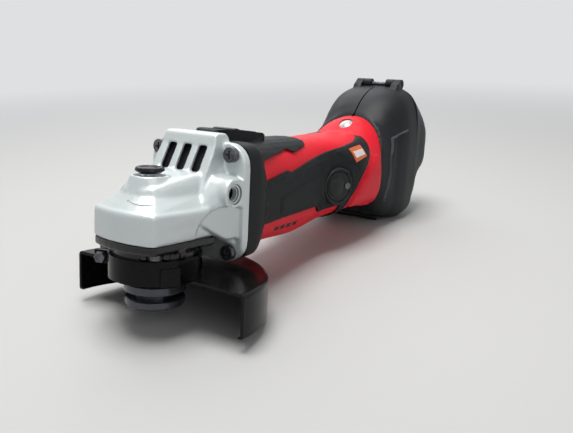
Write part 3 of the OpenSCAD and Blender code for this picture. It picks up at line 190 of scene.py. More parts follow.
world = bpy.data.worlds.new("studio")
scene.world = world
tree = node_graph(world)
link = tree.links.new
strength = add_node(tree, "MapRange", {"To Min": WORLD_LEVEL, "To Max": BACKDROP_LEVEL})
link(seen_rays(tree), strength.inputs["Value"])
backdrop = add_node(tree, "Background", {"Color": BACKDROP})
link(strength.outputs[0], backdrop.inputs["Strength"])
link(backdrop.outputs[0], add_node(tree, "OutputWorld").inputs[0])
print("world level", WORLD_LEVEL, "backdrop level", BACKDROP_LEVEL)

# %% Lamps
def soft_lamp(name, at, look_at, size, watts, tint=(1, 1, 1)):
    """A square area lamp at a place, turned to what it lights."""
    data = bpy.data.lights.new(name, "AREA")
    data.energy, data.size, data.color = watts, size, tint
    lamp = bpy.data.objects.new(name, data)
    lamp.location = at
    lamp.rotation_mode = "QUATERNION"
    lamp.rotation_quaternion = (Vector(look_at) - Vector(at)).to_track_quat("-Z", "Y")
    scene.collection.objects.link(lamp)


MIDDLE = (0.11, 0, 0.04)
soft_lamp("key_lamp", (-0.10, 0.05, 1.0), MIDDLE, size=0.55, watts=10.2, tint=(1, 0.99, 0.97))
soft_lamp("fill_lamp", (-0.5, -1.0, 0.55), MIDDLE, size=0.8, watts=2.2)
soft_lamp("back_lamp", (0.5, 0.6, 0.9), MIDDLE, size=0.8, watts=4.2, tint=(0.96, 0.98, 1))

# %% [markdown]
# ## Finishes
# Cast paint, moulded plastic, rubber and steel differ in a few things only: two
# close colours that cloud into each other, how rough the skin is and how far
# that wanders, the height and spacing of its grain, how much it shines, and
# whether it is metal. One function takes those, in Object coordinates, so each
# finish below is two lines of plain values. The frame brings materials of its
# own, some under the same names, so the finishes are kept in a list apart.

# %% The finish maker
CLOUD_SHARE = 0.65
RAMP_FROM, RAMP_TO = 0.35, 0.65
SHEEN_FROM, SHEEN_TO = 0.3, 0.7
COAT_ROUGH, EDGE_SAMPLES = 0.12, 4
FINISHES = {}


def finish(name, light, dark, rough, spread=0.06, cloud=70, grain=1200, lift=0.02,
           metal=0.0, coat=0.0, stretch=(1, 1, 1), edge=0.0, gloss=0.5):
    """A material of two clouded colours and a fine grain; lift and edge are in millimetres."""
    material = bpy.data.materials.new(name)
    tree = node_graph(material)
    link = tree.links.new
    place = add_node(tree, "TexCoord")
    turn = add_node(tree, "Mapping", {"Scale": stretch})
    link(place.outputs["Object"], turn.inputs["Vector"])
    clouds = add_node(tree, "TexNoise", {"Scale": cloud, "Detail": 4})
    link(place.outputs["Object"], clouds.inputs["Vector"])
    grains = add_node(tree, "TexNoise", {"Scale": grain, "Detail": 3})
    link(turn.outputs["Vector"], grains.inputs["Vector"])
    cloud_part = add_node(tree, "Math", {1: CLOUD_SHARE}, operation="MULTIPLY")
    link(clouds.outputs["Fac"], cloud_part.inputs[0])
    both = add_node(tree, "Math", {1: 1 - CLOUD_SHARE}, operation="MULTIPLY_ADD")
    link(grains.outputs["Fac"], both.inputs[0])
    link(cloud_part.outputs[0], both.inputs[2])
    ramp = add_node(tree, "ValToRGB")
    for stop, position, colour in zip(ramp.color_ramp.elements, (RAMP_FROM, RAMP_TO), (dark, light)):
        stop.position, stop.color = position, (*colour, 1)
    link(both.outputs[0], ramp.inputs["Fac"])
    sheen = add_node(tree, "MapRange", {"From Min": SHEEN_FROM, "From Max": SHEEN_TO,
                                        "To Min": rough - spread, "To Max": rough + spread})
    link(both.outputs[0], sheen.inputs["Value"])
    bump = add_node(tree, "Bump", {"Distance": lift * MM})
    link(grains.outputs["Fac"], bump.inputs["Height"])
    if edge:
        soft = add_node(tree, "Bevel", {"Radius": edge * MM}, samples=EDGE_SAMPLES)
        link(soft.outputs["Normal"], bump.inputs["Normal"])
    shader = add_node(tree, "BsdfPrincipled", {"Metallic": metal, "Specular IOR Level": gloss,
                                               "Coat Weight": coat, "Coat Roughness": COAT_ROUGH})
    link(ramp.outputs["Color"], shader.inputs["Base Color"])
    link(sheen.outputs[0], shader.inputs["Roughness"])
    link(bump.outputs["Normal"], shader.inputs["Normal"])
    link(shader.outputs[0], add_node(tree, "OutputMaterial").inputs[0])
    FINISHES[name] = material
    return material


# %% Painted and moulded finishes
# The silver is the paint's own colour; its slight green-cyan cast is painted bounce light from green
# surroundings.
SILVER_PAINT = finish("silver_paint", (0.66, 0.71, 0.71), (0.61, 0.66, 0.665), rough=0.34,
                      spread=0.04, cloud=1500, grain=3200, lift=0.012, metal=0.35)
finish("black_enamel", (0.01, 0.01, 0.012), (0.005, 0.005, 0.006), rough=0.24, spread=0.05,
       cloud=60, grain=700, lift=0.02, coat=0.2, gloss=0.35)
finish("guard_enamel", (0.006, 0.006, 0.006), (0.003, 0.003, 0.003), rough=0.16, spread=0.04,
       cloud=50, grain=420, lift=0.03, edge=0.4, gloss=0.14)
RED_PLASTIC = finish("red_plastic", (0.76, 0.012, 0.028), (0.7, 0.01, 0.024), rough=0.4,
                     spread=0.05, cloud=60, grain=2400, lift=0.01, gloss=0.16)
SOFT_GRIP = finish("soft_grip", (0.01, 0.012, 0.013), (0.006, 0.007, 0.008), rough=0.5, spread=0.06,
                   cloud=70, grain=1900, lift=0.03, edge=0.4, gloss=0.15)
CASE_PLASTIC = finish("case_plastic", (0.011, 0.013, 0.015), (0.007, 0.008, 0.01), rough=0.44,
                      spread=0.05, cloud=60, grain=1700, lift=0.03, edge=0.5, gloss=0.2)
KNOB_PLASTIC = finish("knob_plastic", (0.012, 0.013, 0.014), (0.008, 0.009, 0.01), rough=0.38,
                      spread=0.05, cloud=80, grain=1500, lift=0.02, edge=0.4, gloss=0.3)
BUTTON_GLOSS = finish("button_gloss", (0.012, 0.012, 0.017), (0.008, 0.008, 0.011), rough=0.22,
                      spread=0.04, cloud=120, grain=900, lift=0.006, gloss=0.22)
# Dark nylon for the fan, its baffle, the switch and the terminal block; the same finish also colours the
# dark sheets that are painted shade in the threaded holes, behind the louvres and in the air slots.
DARK_NYLON_AND_SHADE = finish("dark_nylon_and_shade", (0.012, 0.012, 0.016), (0.006, 0.006, 0.008), rough=0.55,
                    spread=0.07, cloud=90, grain=1500, lift=0.02, gloss=0.3)
finish("board_mask", (0.012, 0.13, 0.04), (0.008, 0.085, 0.03), rough=0.35, spread=0.05, cloud=200,
       grain=1500, lift=0.01)
finish("ferrite", (0.06, 0.058, 0.056), (0.035, 0.034, 0.034), rough=0.7, spread=0.08, cloud=200,
       grain=1800, lift=0.03)
finish("carbon", (0.03, 0.03, 0.031), (0.018, 0.018, 0.019), rough=0.6, spread=0.1, cloud=300,
       grain=2500, lift=0.02)
finish("seal_rubber", (0.018, 0.018, 0.018), (0.012, 0.012, 0.012), rough=0.7, spread=0.06,
       cloud=120, grain=1500, lift=0.02)
GROOVE_SHADE = finish("groove_shade", (0.2, 0.22, 0.23), (0.15, 0.165, 0.17), rough=0.5,
                      spread=0.05, cloud=300, grain=1500, lift=0.01, metal=0.2)
SEAM_SHADOW = finish("seam_shadow", (0.001, 0.001, 0.001), (0.0005, 0.0005, 0.0005), rough=0.9,
                     spread=0.05, cloud=120, grain=1500, lift=0.01, gloss=0)
# Lighter grey for the chamfered rim of the case strip, a painted highlight along its flanks.
STRIP_RIM_HIGHLIGHT = finish("strip_rim_highlight", (0.055, 0.06, 0.067), (0.042, 0.046, 0.052), rough=0.4,
                       spread=0.05, cloud=60, grain=1700, lift=0.02, gloss=0.3)
finish("battery_plastic", (0.03, 0.031, 0.034), (0.022, 0.023, 0.026), rough=0.5, spread=0.05,
       cloud=60, grain=1700, lift=0.03, edge=0.5)
finish("lens_clear", (0.66, 0.65, 0.64), (0.42, 0.4, 0.4), rough=0.14, spread=0.05, cloud=500,
       grain=900, lift=0.05, coat=0.8)
finish("lamp_yellow", (0.8, 0.72, 0.42), (0.7, 0.6, 0.3), rough=0.3, spread=0.05, cloud=600,
       grain=1500, lift=0.02)
BADGE_ORANGE = finish("badge_orange", (0.76, 0.14, 0.03), (0.66, 0.11, 0.02), rough=0.35,
                      spread=0.05, cloud=200, grain=1500, lift=0.006)
BADGE_PALE = finish("badge_pale", (0.78, 0.74, 0.72), (0.7, 0.66, 0.64), rough=0.38, spread=0.05,
                    cloud=200, grain=1500, lift=0.006)

# %% Metal finishes
finish("black_oxide", (0.075, 0.078, 0.092), (0.066, 0.068, 0.08), rough=0.26, spread=0.01,
       cloud=120, grain=2500, lift=0.001, metal=0.7, edge=0.3)
finish("screw_steel", (0.16, 0.165, 0.18), (0.07, 0.072, 0.08), rough=0.28, spread=0.08, cloud=400,
       grain=2500, lift=0.015, metal=0.8, edge=0.2)
finish("ground_steel", (0.55, 0.56, 0.57), (0.4, 0.41, 0.42), rough=0.28, spread=0.08, cloud=160,
       grain=3000, lift=0.008, metal=1, stretch=(6, 1, 1))
finish("gear_steel", (0.34, 0.34, 0.34), (0.22, 0.22, 0.225), rough=0.3, spread=0.08, cloud=160,
       grain=2200, lift=0.01, metal=1)
SPRING_STEEL = finish("spring_steel", (0.42, 0.43, 0.44), (0.3, 0.31, 0.32), rough=0.3, spread=0.06,
                      cloud=200, grain=2500, lift=0.006, metal=1)
finish("copper_wire", (0.52, 0.2, 0.075), (0.34, 0.11, 0.04), rough=0.36, spread=0.08, cloud=300,
       grain=900, lift=0.12, metal=0.8, stretch=(0.2, 4, 4))
finish("copper_bar", (0.64, 0.3, 0.17), (0.46, 0.19, 0.1), rough=0.3, spread=0.08, cloud=200,
       grain=2500, lift=0.01, metal=1)
finish("brass", (0.6, 0.44, 0.18), (0.44, 0.31, 0.12), rough=0.32, spread=0.07, cloud=200,
       grain=2500, lift=0.01, metal=1)
finish("core_steel", (0.3, 0.31, 0.32), (0.16, 0.165, 0.17), rough=0.42, spread=0.08, cloud=120,
       grain=700, lift=0.1, metal=0.9, stretch=(8, 0.2, 0.2))
finish("can_steel", (0.46, 0.47, 0.48), (0.36, 0.37, 0.38), rough=0.36, spread=0.08, cloud=90,
       grain=2500, lift=0.01, metal=1)
print("finishes:", len(FINISHES))

# %% Which part wears which finish
WEARS = {
    "silver_paint": ["gear_case"],
    "black_enamel": ["bearing_box"],
    "guard_enamel": ["wheel_guard"],
    "red_plastic": ["motor_housing"],
    "soft_grip": ["grip_overmould"],
    "case_plastic": ["rear_case_left", "rear_case_right", "battery_cover", "cover_latch"],
    "knob_plastic": ["switch_knob", "brush_cover_left", "brush_cover_right"],
    "button_gloss": ["lock_button"],
    "dark_nylon_and_shade": ["cooling_fan", "fan_baffle", "switch_bar", "switch_body", "terminal_block"],
    "board_mask": ["controller_board"],
    "ferrite": ["field_magnets"],
    "carbon": ["carbon_brushes"],
    "seal_rubber": ["dust_seal"],
    "battery_plastic": ["battery_pack"],
    "black_oxide": ["inner_flange", "lock_nut"],
    "screw_steel": ["gear_case_screws", "bearing_box_screws", "guard_clamp_screw", "guard_clamp_nut",
                    "rear_case_screws", "brush_cover_screws", "cover_hinge_pin", "latch_pin"],
    "ground_steel": ["spindle", "rotor_shaft", "spindle_bearing", "front_bearing", "rear_bearing",
                     "needle_bush", "lock_pin"],
    "gear_steel": ["crown_gear", "pinion", "bearing_retainer"],
    "spring_steel": ["lock_spring", "brush_springs", "gear_ring"],
    "copper_wire": ["armature_windings"],
    "copper_bar": ["commutator"],
    "brass": ["brush_holders"],
    "core_steel": ["armature_core"],
    "can_steel": ["motor_can"],
    "lens_clear": ["lamp_lens"],
    "lamp_yellow": ["lamp_led"],
}


def wear(piece, material):
    """Gives a piece one finish."""
    piece.data.materials.clear()
    piece.data.materials.append(material)
    for face in piece.data.polygons:
        face.material_index = 0


for finish_name, parts in WEARS.items():
    for part in parts:
        wear(nodes[part], FINISHES[finish_name])
print("parts without a finish:", set(nodes) - {p for ps in WEARS.values() for p in ps})

# %% [markdown]
# ## Fair skins for the moulded body
# The solid of a moulding is a loft of flat facets between a few stations. A
# real moulding has no facets, so each one is copied, divided finely, and every
# point is moved along its own ray from the middle line by the difference
# between the faceted section and the true one. Recesses and inner walls move
# with the skin they belong to, so nothing loses its fit. Points well inside the
# skin stay where they are.
# A station is x, half width, top, bottom, and how square its upper and lower
# halves are (2 is an ellipse, 7 almost a box), in millimetres.

# %% Stations of the mouldings
HOUSING_MID, CASE_MID, COVER_MID = 44.0, 58.0, 66.0
HOUSING = [
    (36, 31.2, 74.3, 13.4, 7, 7), (46, 30.8, 74.3, 13.6, 7, 7), (50.5, 29.8, 73.9, 14.4, 5.4, 5.4),
    (56, 28, 73.3, 15.2, 3.6, 3.8), (75, 26.4, 73.3, 14.4, 3, 3.3), (100, 24.8, 73.3, 13.4, 2.8, 3.2),
    (120, 24, 73.3, 15.4, 2.7, 3), (130, 25.5, 73.3, 17.6, 2.7, 2.9), (150, 31.6, 73.6, 20.6, 2.8, 2.7),
    (166, 33.4, 74.1, 21.8, 2.8, 2.7), (184, 33.6, 74.5, 21.6, 2.6, 2.8), (192, 33.2, 79.9, 21, 2.4, 2.8),
    (199, 32.6, 84.9, 21, 2.2, 2.8), (206, 32, 86.5, 21, 2.1, 2.8)]
CASE = [
    (186, 30, 77, 24, 2.1, 3), (191, 30.6, 80, 22, 2.1, 3), (197, 31.6, 83.6, 17.5, 2.1, 4),
    (204, 32.4, 86.4, 14, 2.2, 5.5), (214, 33.4, 96.6, 12, 2.6, 7), (222, 35, 102.6, 9.8, 3, 7),
    (231, 36, 106.8, 8.6, 3.4, 7), (243, 36, 109.6, 11, 3.7, 7)]
COVER = [
    (243.3, 36, 109, 12.2, 3.7, 7), (248, 35.7, 106.5, 20, 3.6, 7), (250.5, 35.5, 105, 31, 3.5, 7),
    (255, 35.4, 101, 38, 3.5, 6.5), (260, 35.2, 95.5, 42, 3.6, 6.5), (264.5, 34.7, 89, 45, 3.6, 6),
    (267, 32.4, 84.5, 48, 3.6, 5.5)]
RING_POINTS = 32
print("stations:", len(HOUSING), "on the housing,", len(CASE), "on the case,", len(COVER), "on the cover")


# %% The true section between two stations
def fair_curve(xs, ys):
    """A smooth curve through the points that never overshoots them."""
    steps = [(ys[i + 1] - ys[i]) / (xs[i + 1] - xs[i]) for i in range(len(xs) - 1)]
    slopes = [steps[0]]
    for a, b in zip(steps, steps[1:]):
        slopes.append(0.0 if a * b <= 0 else 2 * a * b / (a + b))
    slopes.append(steps[-1])

    def at(x):
        x = min(max(x, xs[0]), xs[-1])
        k = max(i for i in range(len(xs) - 1) if xs[i] <= x)
        span = xs[k + 1] - xs[k]
        t = (x - xs[k]) / span
        return ((1 + 2 * t) * (1 - t) ** 2 * ys[k] + t * (1 - t) ** 2 * span * slopes[k]
                + t * t * (3 - 2 * t) * ys[k + 1] + t * t * (t - 1) * span * slopes[k + 1])
    return at


def fair_stations(stations):
    """The five measures of a section as smooth curves of x."""
    xs = [s[0] for s in stations]
    curves = [fair_curve(xs, [s[k] for s in stations]) for k in range(1, 6)]
    return lambda x: [curve(x) for curve in curves]


def half_of(measures, mid, grow, up):
    """Half width, height and squareness of the upper or the lower half of a section."""
    half_w, high, low, square_up, square_low = measures
    height = (high - mid if up else mid - low) + grow
    return half_w + grow, height, square_up if up else square_low


def fair_radius(measures, mid, grow, angle):
    """Distance from the middle line to the true section, along a ray at an angle."""
    c, s = abs(math.cos(angle)), abs(math.sin(angle))
    half_w, height, n = half_of(measures, mid, grow, math.sin(angle) >= 0)
    return ((c / half_w) ** n + (s / height) ** n) ** (-1 / n)


# %% The faceted section, as the solid has it
def facet_tree(stations, mid, grow):
    """A search tree of the faceted loft, in millimetres."""
    loft = bmesh.new()
    rings = []
    for x, *measures in stations:
        ring = []
        for i in range(RING_POINTS):
            a = 2 * math.pi * i / RING_POINTS
            c, s = math.cos(a), math.sin(a)
            half_w, height, n = half_of(measures, mid, grow, s >= 0)
            ring.append(loft.verts.new((x, half_w * math.copysign(abs(c) ** (2 / n), c),
                                        mid + height * math.copysign(abs(s) ** (2 / n), s))))
        rings.append(ring)
    for here, there in zip(rings, rings[1:]):
        for i in range(RING_POINTS):
            j = (i + 1) % RING_POINTS
            loft.faces.new((here[i], there[i], there[j]))
            loft.faces.new((here[i], there[j], here[j]))
    tree = BVHTree.FromBMesh(loft)
    loft.free()
    return tree


# %% A piece of the scene, and one that stands for a part
SHARP, CAST_SHARP = math.radians(28), math.radians(75)


def new_piece(name, mesh_bm, body, material, sharp=SHARP):
    """A finished piece at the origin that rides on a body."""
    piece = bpy.data.objects.new(name, bpy.data.meshes.new(name))
    mesh_bm.to_mesh(piece.data)
    mesh_bm.free()
    scene.collection.objects.link(piece)
    piece.data.shade_smooth()
    piece.data.set_sharp_from_angle(angle=sharp)
    wear(piece, material)
    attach(piece, body)
    return piece


def stand_in(name, bm, node, sharp=SHARP):
    """A remade skin that takes the place, the body and the finish of a part."""
    piece = new_piece(name, bm, nodes[node]["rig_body"], nodes[node].data.materials[0], sharp)
    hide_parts(node)
    print(name, "has", len(piece.data.polygons), "faces")
    return piece


# %% Copy a solid, divide it finely and fair it
MERGE_AT = 2e-6
MOST_PASSES = 5
END_IN = 0.01
SKIN_FROM, SKIN_TO = 0.6, 1.02


def merged_copy(node):
    """A bmesh of a part's own solid, with its loose triangles joined."""
    bm = bmesh.new()
    bm.from_mesh(nodes[node].data)
    bmesh.ops.remove_doubles(bm, verts=bm.verts, dist=MERGE_AT)
    bmesh.ops.dissolve_degenerate(bm, dist=MERGE_AT, edges=bm.edges)
    return bm


def divide(bm, longest):
    """Halves edges until none is longer than a length in millimetres."""
    for _ in range(MOST_PASSES):
        long_edges = [e for e in bm.edges if e.calc_length() > longest * MM]
        if not long_edges:
            break
        bmesh.ops.subdivide_edges(bm, edges=long_edges, cuts=1)
        many_sided = [f for f in bm.faces if len(f.verts) > 3]
        bmesh.ops.triangulate(bm, faces=many_sided, quad_method="SHORT_EDGE")


def fair(bm, stations, mid, grow):
    """Moves every point by the difference between the faceted and the true section."""
    facets, measures = facet_tree(stations, mid, grow), fair_stations(stations)
    first, last = stations[0][0] + END_IN, stations[-1][0] - END_IN
    for v in bm.verts:
        x = min(max(v.co.x / MM, first), last)
        y, z = v.co.y / MM, v.co.z / MM - mid
        angle = math.atan2(z, y)
        ray = Vector((0, math.cos(angle), math.sin(angle)))
        facet = facets.ray_cast(Vector((x, 0, mid)), ray)[3]
        if facet is not None and SKIN_FROM * facet < math.hypot(y, z) < SKIN_TO * facet:
            v.co += ray * (fair_radius(measures(x), mid, grow, angle) - facet) * MM


def faired_piece(name, node, stations, mid, grow=0.0, longest=3.5):
    """A fair skin that stands for a part; grow and longest are in millimetres."""
    bm = merged_copy(node)
    divide(bm, longest)
    fair(bm, stations, mid, grow)
    stand_in(name, bm, node)


# %% Skins of the motor housing and its soft grip
faired_piece("housing_skin", "motor_housing", HOUSING, HOUSING_MID)
faired_piece("grip_skin", "grip_overmould", HOUSING, HOUSING_MID, grow=0.6, longest=3.0)

# %% Skins of the battery case and its cover
faired_piece("case_skin_left", "rear_case_left", CASE, CASE_MID)
faired_piece("case_skin_right", "rear_case_right", CASE, CASE_MID)
faired_piece("cover_skin", "battery_cover", COVER, COVER_MID)

# %% [markdown]
# ## Rounded castings
# The gear case and the bearing box are die castings: every outer edge is a soft
# round, and the ribs and bosses run into each other. A Bevel would stop at the
# many short edges of the solid, so the skin is rebuilt on an even grid with the
# Remesh modifier, and its points are averaged with their neighbours: a few
# times everywhere, and more often where the real edges are rounder.

# %% Rebuild a casting on an even grid
def even_copy(node, grid_mm):
    """A bmesh of a part on an even grid."""
    solid = merged_copy(node)
    holder = bpy.data.objects.new("even_copy", bpy.data.meshes.new("even_copy"))
    solid.to_mesh(holder.data)
    solid.free()
    scene.collection.objects.link(holder)
    grid = holder.modifiers.new("grid", "REMESH")
    grid.mode = "VOXEL"
    grid.voxel_size = grid_mm * MM
    even = bmesh.new()
    even.from_object(holder, bpy.context.evaluated_depsgraph_get())
    bpy.data.objects.remove(holder)
    return even


def round_off(bm, times, where):
    """Averages the chosen points with their neighbours; where takes millimetres."""
    chosen = [v for v in bm.verts if where(*(v.co / MM))]
    for _ in range(times):
        bmesh.ops.smooth_vert(bm, verts=chosen, factor=0.5,
                              use_axis_x=True, use_axis_y=True, use_axis_z=True)


def casting(name, node, grid_mm, rounds):
    """A rounded casting that stands for a part."""
    bm = even_copy(node, grid_mm)
    for times, where in rounds:
        round_off(bm, times, where)
    return stand_in(name, bm, node, CAST_SHARP)


# %% Gear case and bearing box
HANDLE_X, HANDLE_Z, HANDLE_OUT = 23.5, 50.8, 33.0
MOUTH_R, BORE_R, BORE_END = 6.5, 4.25, 20.0
MOUTH_MARGIN, MOUTH_DEEP = 1.2, 17
SWEPT_X, SWEPT_OUT, SWEPT_Z = (2, 27), 12.5, (33, 64)


def everywhere(x, y, z):
    """Every point of the casting."""
    return True


def off_mouth(x, y, z):
    """All but the mouths of the threaded holes."""
    return math.hypot(x - HANDLE_X, z - HANDLE_Z) > MOUTH_R + MOUTH_MARGIN or abs(y) < MOUTH_DEEP


def swept_sides(x, y, z):
    """The swept sides between the nose and the flange."""
    return (SWEPT_X[0] < x < SWEPT_X[1] and SWEPT_OUT < abs(y) and SWEPT_Z[0] < z < SWEPT_Z[1]
            and off_mouth(x, y, z))


gear_skin = casting("gear_case_skin", "gear_case", grid_mm=0.66,
                    rounds=[(1, everywhere), (3, off_mouth), (5, swept_sides)])
casting("bearing_box_skin", "bearing_box", grid_mm=0.60, rounds=[(3, everywhere)])

# %% [markdown]
# ## Threads for the side handle, and the painted shade behind the louvres
# Each threaded hole shows its crests as fine rings, so one pointed profile is
# spun fully round the axis of the hole and repeated along it. A dark sleeve
# lines the hole as painted shade, so the grooves between the crests read as
# shadow, and a dark cap closes its bottom as painted shade of the deep hole.
# Behind the louvres sits a dark folded screen, painted shade for the depth of
# the slots.

# %% Spin a half section
ROUND_STEPS = 40
AXES = {"Y": (0, 1, 0), "Z": (0, 0, 1)}


def half_section(bm, outline, axis="Z"):
    """A closed outline of (radius, place along the axis) points, as corners and edges."""
    corners = [bm.verts.new((r * MM, h * MM, 0) if axis == "Y" else (r * MM, 0, h * MM))
               for r, h in outline]
    return corners, [bm.edges.new(pair) for pair in zip(corners, corners[1:] + corners[:1])]


def spin_fully(bm, outline, axis="Z", steps=ROUND_STEPS):
    """The outline spun once round the axis and closed on itself."""
    corners, edges = half_section(bm, outline, axis)
    bmesh.ops.spin(bm, geom=corners + edges, cent=(0, 0, 0), axis=AXES[axis], angle=2 * math.pi,
                   steps=steps, use_merge=True, use_duplicate=False)


# %% Thread rings, and the painted shade of sleeve and bottom in each hole
THREAD_PITCH, THREAD_DEPTH, THREADS = 1.15, 1.0, 5
CREST_HALF, MOUTH_STEP, RING_TAPER, RING_SUNK = 0.5, 0.45, 1.1, 0.3
DARK_FROM, CONE_FROM, CONE_TO = 27.9, 30.8, 32.4

threads, grooves, bottoms = bmesh.new(), bmesh.new(), bmesh.new()
for way in (-1, 1):
    for k in range(THREADS):
        at = HANDLE_OUT - CREST_HALF - k * THREAD_PITCH
        wide = max(BORE_R, MOUTH_R - MOUTH_STEP - RING_TAPER * k) + RING_SUNK
        spin_fully(threads, [(wide, way * (at + CREST_HALF)), (wide - THREAD_DEPTH, way * (at + 0.1)),
                             (wide - 0.2, way * (at - CREST_HALF))], "Y")
    spin_fully(grooves, [(BORE_R + 0.1, way * DARK_FROM), (BORE_R + 0.3, way * CONE_FROM),
                         (MOUTH_R - 0.5, way * CONE_TO), (MOUTH_R - 0.9, way * (CONE_TO + 0.1)),
                         (BORE_R - 0.25, way * CONE_FROM), (BORE_R - 0.3, way * DARK_FROM)], "Y")
    # The bottom of each hole is a dark cap, painted shade of the deep hole.
    spin_fully(bottoms, [(0.05, way * (BORE_END + 0.1)), (BORE_R + 0.1, way * (BORE_END + 0.1)),
                         (BORE_R + 0.1, way * DARK_FROM), (BORE_R - 0.35, way * DARK_FROM),
                         (BORE_R - 0.35, way * (BORE_END + 0.7)), (0.05, way * (BORE_END + 1.2))], "Y")
for bm, name, material in ((threads, "handle_threads", SILVER_PAINT),
                           (grooves, "handle_grooves", GROOVE_SHADE),
                           (bottoms, "handle_hole_shade", DARK_NYLON_AND_SHADE)):
    bmesh.ops.recalc_face_normals(bm, faces=bm.faces)
    bmesh.ops.translate(bm, verts=bm.verts, vec=Vector((HANDLE_X, 0, HANDLE_Z)) * MM)
    new_piece(name, bm, nodes["gear_case"]["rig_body"], material)
print("thread rings:", 2 * THREADS)

# %% Dark screen behind the louvres, painted shade for the depth of the slots
SCREEN_LINE = [(20.6, 60.0), (27.0, 72.4), (28.6, 77.4)]
SCREEN_HALF_W, SCREEN_T = 16.4, 0.8


def points_in(made):
    """The points among what a mesh tool has made."""
    return [g for g in made["geom"] if isinstance(g, bmesh.types.BMVert)]


# The dark folded sheet is painted shade for the depth of the louvre slots.
shade_screen = bmesh.new()
low_edge = [shade_screen.verts.new((x * MM, -SCREEN_HALF_W * MM, z * MM)) for x, z in SCREEN_LINE]
line = [shade_screen.edges.new(pair) for pair in zip(low_edge, low_edge[1:])]
drawn = bmesh.ops.extrude_edge_only(shade_screen, edges=line)
bmesh.ops.translate(shade_screen, verts=points_in(drawn), vec=(0, 2 * SCREEN_HALF_W * MM, 0))
bmesh.ops.solidify(shade_screen, geom=shade_screen.faces[:], thickness=SCREEN_T * MM)
bmesh.ops.recalc_face_normals(shade_screen, faces=shade_screen.faces)
new_piece("louvre_shade_screen", shade_screen, nodes["gear_case"]["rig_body"], DARK_NYLON_AND_SHADE)
print("the screen has", len(line), "flat leaves")

# %% [markdown]
# ## Raised fields on the grip, the red ring and the battery case
# The side of the real tool is broken up by shallow fields with chamfered edges.
# Each is drawn as an outline seen from the side, turned into x and angle round
# the middle line, inset by the width of its chamfer, cut into small cells so
# that it can bend, and extruded. One layer is then laid on the true section and
# the other below the skin it stands on. The upper layer starts just under the
# skin at its rim and climbs evenly to the full height across the chamfer.

# %% Places on a skin
TOP_SHARE = 0.9999
PROBE_X, PROBE_ANGLE = 0.5, 0.02
ABOVE_ALL = 200


def side_angle(measures, mid, grow, z):
    """The angle round the middle line of the point at a height, on the +Y side."""
    half_w, height, n = half_of(measures, mid, grow, z >= mid)
    rise = min(abs(z - mid) / height, TOP_SHARE)
    across = half_w * (1 - rise ** n) ** (1 / n)
    return math.atan2(z - mid, across)


def skin_spot(measures_at, mid, grow, x, angle, lift):
    """A point above the skin on the +Y side, in millimetres, lifted along its normal."""
    def spot(px, a):
        r = fair_radius(measures_at(px), mid, grow, a)
        return Vector((px, r * math.cos(a), mid + r * math.sin(a)))
    here = spot(x, angle)
    around = spot(x, angle + PROBE_ANGLE) - spot(x, angle - PROBE_ANGLE)
    out = around.cross(spot(x + PROBE_X, angle) - spot(x - PROBE_X, angle))
    outward = out.dot(Vector((0, here.y, here.z - mid))) > 0
    return here + out.normalized() * (lift if outward else -lift)


def side_ground(stations, mid, grow=0.0):
    """How an outline seen from the side is laid flat, and how the flat is laid on a moulding."""
    measures_at = fair_stations(stations)
    around = stations[len(stations) // 2][1]

    def flatten(x, z):
        return x, side_angle(measures_at(x), mid, grow, z) * around

    def lay(u, v, height):
        return skin_spot(measures_at, mid, grow, u, v / around, height)
    return flatten, lay


def top_ground(piece):
    """The same for an outline seen from above, on any piece."""
    tree = BVHTree.FromPolygons([v.co.copy() for v in piece.data.vertices],
                                [p.vertices[:] for p in piece.data.polygons])

    def lay(u, v, height):
        spot, normal, _, _ = tree.ray_cast(Vector((u, v, ABOVE_ALL)) * MM, Vector((0, 0, -1)))
        return spot / MM + normal * height
    return (lambda x, y: (x, y)), lay


def middle_ground(stations, mid, up):
    """The same for a narrow outline of (x, y) along the top or the bottom of a moulding."""
    measures_at = fair_stations(stations)

    def lay(u, v, height):
        high, low = measures_at(u)[1:3]
        angle = math.atan2(high - mid if up else low - mid, v)
        return skin_spot(measures_at, mid, 0.0, u, angle, height)
    return (lambda x, y: (x, y)), lay


# %% Cut a field and lay it on a skin
CELL, CELL_SNAP = 2.6, 1e-4
BACK, RIM_DOWN = -0.7, -0.3


def rim_distance(loops, point):
    """How far a point of a flat field lies from the nearest side of its outlines."""
    spot = Vector((point.x, point.y, 0))
    nearest = math.inf
    for loop in loops:
        for a, b in zip(loop, loop[1:] + loop[:1]):
            along = max(0, min(1, (spot - a).dot(b - a) / (b - a).length_squared))
            nearest = min(nearest, (a + (b - a) * along - spot).length)
    return nearest


def cut_in_cells(flat):
    """Cuts a flat outline along a square grid, so that it can bend."""
    for axis, across in enumerate((Vector((1, 0, 0)), Vector((0, 1, 0)))):
        low = min(v.co[axis] for v in flat.verts)
        high = max(v.co[axis] for v in flat.verts)
        for k in range(1, int((high - low) / CELL) + 1):
            bmesh.ops.bisect_plane(flat, geom=flat.verts[:] + flat.edges[:] + flat.faces[:],
                                   dist=CELL_SNAP, plane_co=across * (low + k * CELL), plane_no=across)


def pour(bm, into):
    """Adds one bmesh to another and frees it."""
    carrier = bpy.data.meshes.new("carrier")
    bm.to_mesh(carrier)
    bm.free()
    into.from_mesh(carrier)
    bpy.data.meshes.remove(carrier)


